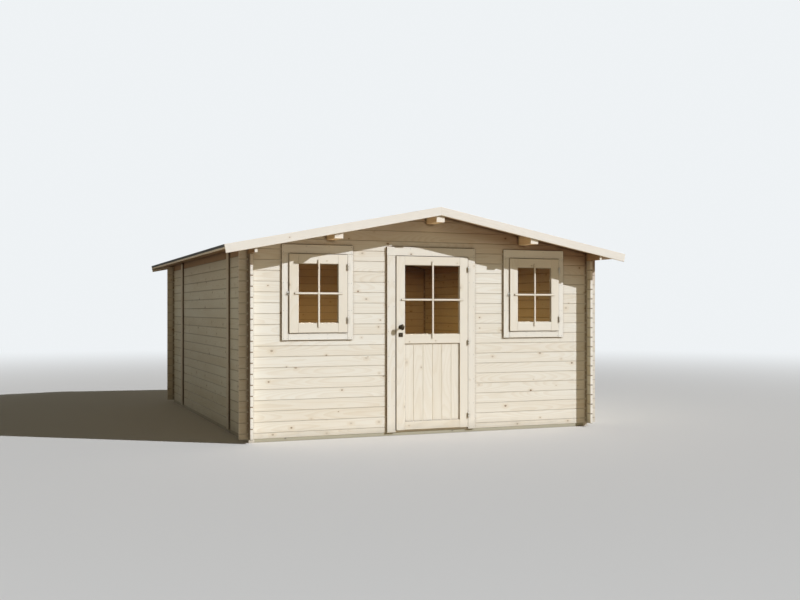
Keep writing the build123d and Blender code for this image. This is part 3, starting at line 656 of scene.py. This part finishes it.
def feltMaterial():
    made, graph = newMaterial("felt")
    place = graph.put("ShaderNodeTexCoord")["Object"]
    grit = graph.put("ShaderNodeTexVoronoi", {"Vector": place, "Scale": feltLook["granules"]})
    pale = grit["Color"].split()[0]
    patch = place.noise(1.4, 4.0)[0]
    streak = place.vector("MULTIPLY", (1.2, 9.0, 1.0))[0].noise(detail=3.0)[0]
    base = pale.smooth(0.2, 0.95).mix(feltLook["granule"], feltLook["pale"])
    base = grit["Distance"].smooth(0.45, 0.75).mix(base, feltLook["bitumen"])
    base = (patch.smooth(0.45, 0.75) * 0.35).mix(base, feltLook["bitumen"])
    base = (streak.smooth(0.50, 0.80) * 0.25).mix(base, feltLook["dust"])
    skin = graph.put("ShaderNodeBsdfPrincipled", {
        "Base Color": base, "Roughness": pale * 0.15 + 0.80, "Specular IOR Level": 0.3,
        "Normal": grit["Distance"].bump(0.6, 0.0012, invert=True)})
    graph.put("ShaderNodeOutputMaterial", {"Surface": skin[0]})
    return made


# Panes: clear glass with a faint film of dust, which lets the sun through to the room
glassLook = {"tint": colour(236, 232, 222), "rough": 0.012, "film": 0.05, "bend": 1.12}


def glassMaterial():
    made, graph = newMaterial("glass")
    place = graph.put("ShaderNodeTexCoord")["Object"]
    film = place.noise(7.0, 5.0)[0].smooth(0.55, 0.85)
    skin = graph.put("ShaderNodeBsdfPrincipled", {
        "Base Color": glassLook["tint"], "IOR": glassLook["bend"], "Transmission Weight": 1.0,
        "Roughness": film * glassLook["film"] + glassLook["rough"],
        "Normal": place.noise(2.5, 1.0)[0].bump(0.03, 0.002)})
    clear = graph.put("ShaderNodeBsdfTransparent", {"Color": (1.0, 1.0, 1.0, 1.0)})
    both = graph.put("ShaderNodeLightPath")["Is Shadow Ray"].blend(skin[0], clear[0])
    graph.put("ShaderNodeOutputMaterial", {"Surface": both})
    return made


leafEnds = leafBox[0].x, leafBox[1].x
doorCasingEnds = doorCasingBox[0].x, doorCasingBox[1].x
jambEnds = jambBox[0].x, jambBox[1].x
member = cabin["sashMember"]
bar = cabin["barWidth"]
hairline = cabin["hairline"]

# The nodes of each timber, the layout of its boards, its look and the axes of its painted side shade
timbers = {
    "frontLogs": ("front_wall_low_left front_wall_low_right front_wall_corner_left "
                  "front_wall_corner_right front_wall_pier_left front_wall_pier_right front_gable "
                  "rear_wall rear_gable", frontLogs, "logs"),
    "sideLogs": ("left_wall right_wall", sideLogs, "sideLogs"),
    "purlins": ("ridge_purlin side_purlins", lengthwise, "purlins"),
    "wallPlates": ("wall_plates", lengthwise, "plates"),
    "roofBoards": ("roof_boards_left roof_boards_right", downSlope, "roofBoards"),
    "fascias": ("front_fascia rear_fascia", fasciaBoards, "fascia"),
    "battens": ("wall_battens", battenBoards, "logs", (1,)),
    "groundBeams": ("foundation_beams", groundBeams, "groundBeams"),
    "floorBoards": ("floor_boards", floorBoards, "floor"),
    "doorPanel": ("door_panel", panelBoards, "panel"),
    "doorLeaf": ("door_leaf", framedBoards("leaf", *leafEnds, member, member), "joinery"),
    "doorBars": ("door_bars", framedBoards(
        "doorBars", *leafEnds, bar, bar, inBars=True), "joinery", (0, 2)),
    "doorCasing": ("door_casing", framedBoards(
        "doorCasing", *doorCasingEnds, cabin["doorCasingLeft"], cabin["doorCasingRight"],
        headBottom), "trim"),
    "doorJambs": ("door_jambs door_head door_threshold", framedBoards(
        "doorJambs", *jambEnds, cabin["jambWidth"], cabin["jambWidth"]), "joinery"),
    "windowCasings": ("window_casings", framedBoards(
        "casings", -frameHalf, frameHalf, cabin["casingLeft"] + hairline,
        cabin["casingRight"] + hairline, headBottom, isWindow=True), "trim"),
    "windowFrames": ("window_frames", framedBoards(
        "frames", -frameHalf, frameHalf, cabin["frameLeft"], cabin["frameRight"],
        isWindow=True), "joinery"),
    "windowSashes": ("window_sashes", framedBoards(
        "sashes", sashLow, sashHigh, member + hairline, member + hairline, isWindow=True), "joinery"),
    "windowBars": ("window_bars", framedBoards(
        "bars", sashLow, sashHigh, bar, bar, isWindow=True, inBars=True), "joinery", (0, 2)),
}

# The nodes of each other finish, and its material; nails and clouts are on new pieces alone
others = {
    "felt": ("roofing_felt_left roofing_felt_right ridge_strip eave_strips", feltMaterial()),
    "glass": ("window_glass door_glass", glassMaterial()),
    "hinges": ("window_hinges door_hinge_pins door_hinge_knuckles", metalMaterial("hinges")),
    "furniture": ("window_catches door_knob door_keyhole_plate", metalMaterial("furniture")),
    "nails": ("", metalMaterial("nails")),
    "clouts": ("", metalMaterial("clouts")),
}
materials = {name: timberMaterial(name, *choice[1:]) for name, choice in timbers.items()}
materials.update({name: made for name, (nodes, made) in others.items()})
print("materials made:", len(materials))


def finish(piece, material):
    piece.data.materials.clear()
    piece.data.materials.append(materials[material])


finished = 0
for material, choice in {**timbers, **others}.items():
    for node in choice[0].split():
        finish(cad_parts[node], material)
        finished += 1
print("nodes finished:", finished)


def tube(points, closed):
    # faces of a body drawn as rings of points: four-sided ones between two rings, and either a
    # face over each end or, where the last ring joins the first, none; points has the shape
    # (copies, rings, sides, 3)
    copies, rings, sides = points.shape[:3]
    numbers = np.arange(copies * rings * sides).reshape(copies, rings, sides)
    ahead = np.roll(numbers, -1, axis=2)
    upper, upperAhead = np.roll(numbers, -1, axis=1), np.roll(ahead, -1, axis=1)
    kept = rings if closed else rings - 1
    walls = np.stack([numbers, ahead, upperAhead, upper], axis=-1)[:, :kept].reshape(-1, 4)
    ends = [] if closed else [numbers[:, 0, ::-1], numbers[:, -1]]
    return points.reshape(-1, 3), [walls] + ends


def placed(rings, places, across, upward):
    # copies of the rings: the point (x, y, z) goes to place + x across + y upward + z (across x upward)
    across = np.array(across, float)
    upward = np.array(upward, float)
    axes = np.stack([across, upward, np.cross(across, upward)])
    return np.array(places, float)[:, None, None, :] + (rings @ axes)[None]


def bodies(rings, places, across=(1, 0, 0), upward=(0, 0, 1)):
    # closed bodies of the rings, one at each place, which face forward unless they are turned
    return tube(placed(rings, places, across, upward), False)


def heads(form, spots, front):
    # nail or screw heads on a face that looks forward: x and z of each spot, and the face's y
    return bodies(headRings(form), np.insert(spots, 1, front, axis=1))


def turned(profile, sides):
    # rings of a turned body: at each radius and reach the point is (radius cos a, radius sin a, reach)
    radius, reach = np.array(profile, float).T[:, :, None]
    turn = np.linspace(0.0, 2 * math.pi, sides, endpoint=False)[None]
    return np.stack([radius * np.cos(turn), radius * np.sin(turn), reach + 0 * turn], axis=-1)


def plated(width, height, corner, profile, steps=4):
    # rings of a plate with round corners: each inset shrinks the corners' radius about their centres
    inset, reach = np.array(profile, float).T[:, :, None]
    turn = (np.linspace(0.0, 0.5, steps)[None] + np.arange(4)[:, None] * 0.5).reshape(1, -1) * math.pi
    signX = np.repeat([1, -1, -1, 1], steps)[None]
    signY = np.repeat([1, 1, -1, -1], steps)[None]
    radius = corner - inset
    return np.stack([signX * (width / 2 - corner) + radius * np.cos(turn),
                     signY * (height / 2 - corner) + radius * np.sin(turn), reach + 0 * turn], axis=-1)


def addPiece(name, parts, material, body, smooth=30.0, replaced=()):
    # joins the parts into one mesh, and rounds the shading where faces meet under the smooth angle
    points = np.concatenate([part[0] for part in parts])
    starts = np.cumsum([0] + [len(part[0]) for part in parts])
    faces = [face for start, part in zip(starts, parts)
             for group in part[1] for face in (group + start).tolist()]
    mesh = bpy.data.meshes.new(name)
    mesh.from_pydata(points.tolist(), [], faces)
    mesh.shade_smooth()
    mesh.set_sharp_from_angle(angle=math.radians(smooth))
    made = bpy.data.objects.new(name, mesh)
    bpy.context.scene.collection.objects.link(made)
    finish(made, material)
    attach(made, body)
    if replaced:
        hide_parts(*replaced)
    return made


# Oval knob on a turned neck and rose, in metres; its own places come from the frame
knobForm = {"grip": 0.022, "neck": 0.0085, "neckFrom": 0.8, "neckTo": 0.8, "flare": 0.0125,
            "rose": 0.025, "roseHeight": 0.007, "fullness": 0.42, "rings": 22, "sides": 40,
            "halfTurn": (0.035, 0.985)}     # the share of it that is drawn


def makeKnob():
    # the grip's half width at share s of its thickness is sin(pi s) to the power of fullness, and
    # the neck widens from its waist with the square of the distance
    low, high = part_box("door_knob")
    leaf = leafBox[0].y
    middle = [(low.x + high.x) / 2, leaf, (low.z + high.z) / 2]
    share = (1 - np.cos(np.linspace(*knobForm["halfTurn"], knobForm["rings"]) * math.pi)) / 2
    full = np.sin(math.pi * share) ** knobForm["fullness"]
    reach = (leaf - low.y) - knobForm["grip"] * (1 - share)
    grip = turned(np.stack([full, reach], axis=-1), knobForm["sides"])
    grip = grip * np.array([(high.x - low.x) / 2, (high.z - low.z) / 2, 1.0])
    start = knobForm["roseHeight"] * knobForm["neckFrom"]
    end = (leaf - low.y) - knobForm["grip"] * knobForm["neckTo"]
    ease = np.linspace(0.0, 1.0, 9)
    waist = knobForm["neck"] + (knobForm["flare"] - knobForm["neck"]) * (2 * ease - 1) ** 2
    neck = turned(np.stack([waist, start + (end - start) * ease], axis=-1), 24)
    steps = np.array([(1.0, 0.0), (1.0, 0.35), (0.97, 0.65), (0.88, 0.9), (0.7, 1.0)])
    rose = turned(steps * (knobForm["rose"], knobForm["roseHeight"]), knobForm["sides"])
    parts = [bodies(rings, [middle]) for rings in (grip, neck, rose)]
    addPiece("knob", parts, "furniture", "door", 50.0, ("door_knob",))


# Barrel hinges: a round barrel with a flap that lies in the gap beside it
hingeForm = {"inset": 0.133, "flapThickness": 0.002, "flapWidth": 0.034, "play": 0.001, "knuckle": 0.028,
             "pin": 0.0035, "pinEdge": 0.0006, "bore": 0.0037, "corner": 0.003, "bevel": 0.0004,
             "edge": 0.0008, "sides": 28, "windowGap": 0.004}
standing = ((1, 0, 0), (0, 1, 0))    # turned bodies with their axis upright
edgeOn = ((0, 1, 0), (0, 0, 1))      # plates that look to the right


def barrelProfile(radius, length, joints):
    # radius and reach along a barrel with soft ends and a fine groove at each joint
    soft = radius * 0.16
    rows = [(radius * 0.55, 0.0), (radius * 0.9, soft * 0.4), (radius, soft * 1.6)]
    for joint in joints:
        rows += [(radius, joint - soft * 0.5), (radius - soft * 0.7, joint), (radius, joint + soft * 0.5)]
    return rows + [(radius, length - soft * 1.6), (radius * 0.9, length - soft * 0.4),
                   (radius * 0.55, length)]


def flap(height):
    # a thin plate whose rim steps in at both faces
    thick, bevel = hingeForm["flapThickness"], hingeForm["bevel"]
    return plated(hingeForm["flapWidth"], height, hingeForm["corner"],
                  [(bevel, 0.0), (0.0, bevel), (0.0, thick - bevel), (bevel, thick)])


def makeDoorHinges():
    # on one axis, a fixed knuckle with its pin under a moving one that is a ring round the pin, and
    # beside each a flap on the jamb or on the leaf's edge
    low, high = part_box("door_hinge_pins")
    knuckle, half, sides = hingeForm["knuckle"], hingeForm["play"] / 2, hingeForm["sides"]
    pin, bore, edge = hingeForm["pin"], hingeForm["bore"], hingeForm["edge"]
    radius = (high.x - low.x) / 2
    axisX, axisY = (low.x + high.x) / 2, low.y + radius
    bottom, top = low.z + knuckle + half, high.z - knuckle + half
    heights = [bottom, (bottom + top) / 2, top]
    fixed = turned(barrelProfile(radius, knuckle, []), sides)
    pinRings = turned([(pin, 0.0), (pin, knuckle - hingeForm["pinEdge"]), (pin * 0.8, knuckle)], 20)
    moving = turned([(bore, 0.0), (radius * 0.92, 0.0), (radius, edge), (radius, knuckle - edge),
                     (radius * 0.92, knuckle), (bore, knuckle)], sides)
    plate = flap(knuckle)
    flapX, flapY = doorJambEdge - hingeForm["flapThickness"], axisY + hingeForm["flapWidth"] / 2

    def places(x, y, rise):
        return [(x, y, z + rise) for z in heights]

    addPiece("doorHingesFixed", [bodies(fixed, places(axisX, axisY, -half - knuckle), *standing),
                                 bodies(pinRings, places(axisX, axisY, -half), *standing),
                                 bodies(plate, places(flapX, flapY, -half - knuckle / 2), *edgeOn)],
             "hinges", "shed", 40.0, ("door_hinge_pins",))
    addPiece("doorHingesMoving", [tube(placed(moving, places(axisX, axisY, half), *standing), True),
                                  bodies(plate, places(leafBox[1].x, flapY, half + knuckle / 2), *edgeOn)],
             "hinges", "door", 40.0, ("door_hinge_knuckles",))


def makeWindowHinges():
    # a barrel with a joint at each third of its length, and its flap on the sash's edge
    low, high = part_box("window_hinges")
    radius = (high.x - low.x - 2 * windowPlace) / 2
    axisY = low.y + radius
    length = 2 * (sashBox[0].z + hingeForm["inset"] - low.z)
    centres = [(high.x - radius - aside, z) for aside in (2 * windowPlace, 0.0)
               for z in (low.z + length / 2, high.z - length / 2)]
    barrel = turned(barrelProfile(radius, length, [length / 3, 2 * length / 3]), hingeForm["sides"])
    edge = hingeForm["windowGap"] / 2 - hingeForm["flapThickness"]
    flapY = axisY + hingeForm["flapWidth"] / 2
    addPiece("windowHinges", [bodies(barrel, [(x, axisY, z - length / 2) for x, z in centres], *standing),
                              bodies(flap(length), [(x + edge, flapY, z) for x, z in centres], *edgeOn)],
             "hinges", "shed", 40.0, ("window_hinges",))


# Turning catches on the left casings of the windows
catchForm = {"plate": 0.002, "armWidth": 0.011, "armHeight": 0.040, "armThickness": 0.003, "boss": 0.0062,
             "corner": 0.007}


def makeCatches():
    # a base plate and a round-ended arm on it, drawn by their insets, and a turned boss
    low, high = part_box("window_catches")
    width = high.x - low.x - 2 * windowPlace
    height = high.z - low.z
    reach = high.y - low.y
    middles = [(x, high.y, (low.z + high.z) / 2) for x in (low.x + width / 2, high.x - width / 2)]
    edge, wide = catchForm["plate"], catchForm["armWidth"]
    top = edge + catchForm["armThickness"]
    base = plated(width, height, catchForm["corner"], [(0.0, 0.0), (0.0, edge * 0.6), (0.0006, edge)])
    arm = plated(wide, catchForm["armHeight"], wide / 2 - 0.0001,
                 [(0.0006, edge * 0.9), (0.0, edge + 0.0006), (0.0, top - 0.0008), (0.0010, top)], 6)
    boss = catchForm["boss"]
    bossRings = turned([(boss * 0.62, top - catchForm["armThickness"] * 0.1), (boss * 0.5, top + 0.002),
                        (boss * 0.75, reach - 0.0055), (boss * 0.97, reach - 0.0035),
                        (boss * 0.9, reach - 0.0012), (boss * 0.45, reach)], 24)
    addPiece("catches", [bodies(rings, middles) for rings in (base, arm)], "hinges", "shed",
             45.0, ("window_catches",))
    addPiece("catchKnobs", [bodies(bossRings, middles)], "furniture", "shed", 45.0)


# Fixings: flat wire nails in the trim, clout nails in the felt, and the keyhole plate's screws
nailForm = {"radius": 0.0032, "height": 0.0007, "sides": 12, "inFromEdge": 0.017, "spacing": 0.31,
            "onBatten": 0.3}       # share of its width, off its middle
cloutForm = {"radius": 0.0052, "height": 0.0011, "sides": 12, "spacing": 0.118, "fromEdge": 0.022,
             "vergeFrom": 0.17, "vergeTo": 0.05}
screwForm = {"radius": 0.0030, "height": 0.0006, "sides": 14, "inset": 0.006}


def headRings(form):
    # a shallow dome: the radius shrinks as the height rises
    steps = np.array([(0.93, -1.0), (1.0, 0.25), (0.88, 0.7), (0.55, 0.95), (0.15, 1.0)])
    return turned(steps * (form["radius"], form["height"]), form["sides"])


def evenly(low, high, spacing):
    # places from low to high, no further apart than the spacing
    return np.linspace(low, high, max(2, int(math.ceil((high - low) / spacing)) + 1))


def grid(xs, zs):
    # every pair of the two lists
    return np.stack(np.meshgrid(xs, zs, indexing="ij"), axis=-1).reshape(-1, 2)


def uprightNails(left, right, bottom, top):
    # two rows up an upright board, at the same distance from its edges
    edge = nailForm["inFromEdge"]
    return grid([left + edge, right - edge], evenly(bottom + edge, top - edge, nailForm["spacing"]))


def levelNails(left, right, bottom, top):
    # and two along a level one
    edge = nailForm["inFromEdge"]
    return grid(evenly(left + edge, right - edge, nailForm["spacing"]), [bottom + edge, top - edge])


def makeTrimNails():
    # the windows' casings, the door's casing, and one pair to each log on the battens
    low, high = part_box("window_casings")
    left, right = cabin["casingLeft"], cabin["casingRight"]
    spots = []
    for side in (-1, 1):
        start = side * windowPlace - frameHalf
        end = start + cabin["casingWidth"]
        spots += [uprightNails(start, start + left, low.z, headBottom),
                  uprightNails(end - right, end, low.z, headBottom),
                  levelNails(start, end, headBottom, high.z),
                  levelNails(start + left, end - right, low.z, low.z + cabin["casingSill"])]
    parts = [heads(nailForm, np.concatenate(spots), low.y)]
    low, high = doorCasingBox
    spots = [uprightNails(low.x, low.x + cabin["doorCasingLeft"], low.z, headBottom),
             uprightNails(high.x - cabin["doorCasingRight"], high.x, low.z, headBottom),
             levelNails(low.x, high.x, headBottom, high.z)]
    parts.append(heads(nailForm, np.concatenate(spots), low.y))
    low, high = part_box("wall_battens")
    wide = cabin["battenWidth"]
    aside = wide * nailForm["onBatten"]
    heights = beamTop + course * (np.arange(cabin["sideLogs"]) + 0.5)
    for side in (-1, 1):
        for middle in (low.y + wide / 2, high.y - wide / 2):
            spots = np.insert(grid([middle - aside, middle + aside], heights), 0, side * high.x, axis=1)
            parts.append(bodies(headRings(nailForm), spots, (0, side, 0)))
    addPiece("trimNails", parts, "nails", "shed", 50.0)


def makeClouts():
    # over the roof's underside a felt sheet's top lies as high as the boards, the felt and a slow
    # rise, which grows with the distance down the slope
    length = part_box("roofing_felt_left")[1].y - cloutForm["fromEdge"]
    along = evenly(-length, length, cloutForm["spacing"])
    run = cabin["feltRun"]
    rise = cabin["feltRise"] / run
    sheet = cabin["boardThickness"] + cabin["feltThickness"]
    rows = []
    for end, start in ((run + cabin["feltLap"], 0.0), (run + cabin["feltLap"], run), (run, 2 * run)):
        spot = end - cloutForm["fromEdge"]
        rows.append(np.insert(grid([start + spot], along), 2, sheet + spot * rise, axis=1))
        verge = grid(evenly(cloutForm["fromEdge"] + cloutForm["vergeFrom"], end - cloutForm["vergeTo"],
                            cloutForm["spacing"]), [-length, length])
        rows.append(np.stack([start + verge[:, 0], verge[:, 1], sheet + verge[:, 0] * rise], axis=-1))
    strip = cabin["ridgeStripHalf"] - cloutForm["fromEdge"]
    rows.append(np.insert(grid([strip], along), 2, cabin["ridgeStripTop"], axis=1))
    spots = np.concatenate(rows)
    pitch = math.radians(cabin["pitch"])
    ridge, back = np.array([0.0, 0.0, ridgeUnderside]), np.array([0.0, 1.0, 0.0])
    parts = []
    for side in (-1, 1):
        normal = np.array([side * math.sin(pitch), 0.0, math.cos(pitch)])
        down = np.array([side * math.cos(pitch), 0.0, -math.sin(pitch)])
        places = ridge + spots[:, :1] * down + spots[:, 2:] * normal + spots[:, 1:2] * back
        parts.append(bodies(headRings(cloutForm), places, back, np.cross(normal, back)))
    addPiece("clouts", parts, "clouts", "shed", 50.0)


def makeKeyholeScrews():
    # one in each corner of the plate
    low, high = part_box("door_keyhole_plate")
    inset = screwForm["inset"]
    spots = grid([low.x + inset, high.x - inset], [low.z + inset, high.z - inset])
    addPiece("keyholeScrews", [heads(screwForm, spots, low.y)], "furniture", "door",
             50.0)


# Quarter-round beads that hold the panes from inside
beadForm = {"size": 0.006, "steps": 6, "gap": 0.0004}


def beadLoop(left, right, bottom, top, glassRear):
    # a quarter of a circle carried round the pane: at each corner it moves in by the same amount
    # along both sides, so that the beads meet in a mitre
    turn = np.linspace(0.0, math.pi / 2, beadForm["steps"])
    inward = np.concatenate([[0.0], beadForm["size"] * np.cos(turn)])
    behind = np.concatenate([[0.0], beadForm["size"] * np.sin(turn)]) + beadForm["gap"]
    cornerX = np.array([[left], [right], [right], [left]]) + np.array([[1], [-1], [-1], [1]]) * inward
    cornerZ = np.array([[bottom], [bottom], [top], [top]]) + np.array([[1], [1], [-1], [-1]]) * inward
    return np.stack([cornerX, glassRear + behind[None] + 0 * cornerX, cornerZ], axis=-1)


def makeBeads():
    # one loop in each window's sash and one in the door's leaf
    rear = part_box("window_glass")[1].y
    loops = [beadLoop(sashLow + side * windowPlace + member, sashHigh + side * windowPlace - member,
                      sashBox[0].z + member, sashBox[1].z - member, rear) for side in (-1, 1)]
    low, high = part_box("door_glass")
    rebate = cabin["rebate"]
    doorLoop = beadLoop(low.x + rebate, high.x - rebate, low.z + rebate, high.z - rebate, high.y)
    for name, rings, material, body in (("windowBeads", loops, "windowSashes", "shed"),
                                        ("doorBeads", [doorLoop], "doorLeaf", "door")):
        addPiece(name, [tube(np.stack(rings)[:, :, ::-1], True)], material, body)


makeKnob()
makeDoorHinges()
makeWindowHinges()
makeCatches()
makeTrimNails()
makeClouts()
makeKeyholeScrews()
makeBeads()


# Light: one soft sun from the right of the front, and a plain even sky
light = {
    "sunTravel": (-0.70, 0.495, -0.495),
    "sunStrength": 4.35,
    "sunWidth": 0.7,           # degrees
    "sunColour": (0.94, 1.045, 1.25),
    "skyColour": (1.0, 0.93, 0.72, 1.0),
    "skyStrength": 0.10,
    "background": (0.86, 0.89, 0.91, 1.0),
    "roomPlace": (0.15, -0.1, 1.85),
    "roomSize": (2.2, 3.2),
    "roomColour": (1.0, 0.68, 0.28),
    "roomPower": 26.5,
}


def seenDirectly(graph):
    # 1 for rays that the camera, glass and polish send
    path = graph.put("ShaderNodeLightPath")
    return path["Is Camera Ray"].larger(path["Is Glossy Ray"].larger(path["Is Transmission Ray"]))


def newLamp(name, kind, **settings):
    data = bpy.data.lights.new(name, kind)
    for setting, value in settings.items():
        setattr(data, setting, value)
    lamp = bpy.data.objects.new(name, data)
    bpy.context.scene.collection.objects.link(lamp)
    return lamp


def makeLight():
    # the sun looks along its travel: its heading and climb are the angles of the way back to it
    sun = newLamp("sun", "SUN", energy=light["sunStrength"], angle=math.radians(light["sunWidth"]),
                  color=light["sunColour"])
    back = -np.array(light["sunTravel"])
    heading = math.atan2(back[0], -back[1])
    climb = math.atan2(back[2], math.hypot(back[0], back[1]))
    sun.rotation_euler = (math.pi / 2 - climb, 0, heading)

    # a warm lamp under the ceiling, unseen itself, shows the room through the panes
    width, depth = light["roomSize"]
    room = newLamp("roomLamp", "AREA", shape="RECTANGLE", size=width, size_y=depth,
                   energy=light["roomPower"], color=light["roomColour"])
    room.location = light["roomPlace"]
    room.visible_camera = room.visible_glossy = room.visible_transmission = False

    world = bpy.data.worlds.new("sky")
    bpy.context.scene.world = world
    world.use_nodes = True
    world.node_tree.nodes.clear()
    graph = Graph(world.node_tree)
    fill = graph.put("ShaderNodeBackground",
                     {"Color": light["skyColour"], "Strength": light["skyStrength"]})
    shown = graph.put("ShaderNodeBackground", {"Color": light["background"], "Strength": 1.0})
    graph.put("ShaderNodeOutputWorld", {"Surface": seenDirectly(graph).blend(fill[0], shown[0])})


floorLook = {"radius": 90.0, "rings": 24, "spokes": 48, "seen": (0.67, 0.615, 0.53, 1.0),
             "bounced": (0.68, 0.565, 0.395, 1.0), "fadeFrom": 5.0, "fadeTo": 24.0}


def makeFloor():
    # a disc: the point at ring r and spoke a is (r cos a, r sin a, 0)
    reach = floorLook["radius"] * np.linspace(0.0, 1.0, floorLook["rings"]) ** 2 + 1e-4
    turn = np.linspace(0.0, 2 * math.pi, floorLook["spokes"], endpoint=False)
    points = np.stack([np.outer(reach, np.cos(turn)), np.outer(reach, np.sin(turn)),
                       np.zeros((len(reach), len(turn)))], axis=-1)
    mesh = bpy.data.meshes.new("floor")
    mesh.from_pydata(points.reshape(-1, 3).tolist(), [], tube(points[None], False)[1][0].tolist())
    ground = bpy.data.objects.new("floor", mesh)
    made, graph = newMaterial("studioFloor")
    away = graph.put("ShaderNodeTexCoord")["Object"].vector("LENGTH")["Value"]
    seen = seenDirectly(graph)
    skin = graph.put("ShaderNodeBsdfPrincipled", {
        "Base Color": seen.mix(floorLook["bounced"], floorLook["seen"]), "Roughness": 0.9,
        "Specular IOR Level": 0.1})
    glow = graph.put("ShaderNodeEmission", {"Color": light["background"], "Strength": 1.0})
    fade = away.smooth(floorLook["fadeFrom"], floorLook["fadeTo"]) * seen
    graph.put("ShaderNodeOutputMaterial", {"Surface": fade.blend(skin[0], glow[0])})
    mesh.materials.append(made)
    bpy.context.scene.collection.objects.link(ground)


makeLight()
makeFloor()
bpy.context.scene.view_settings.view_transform = "Standard"
print("light and floor made")
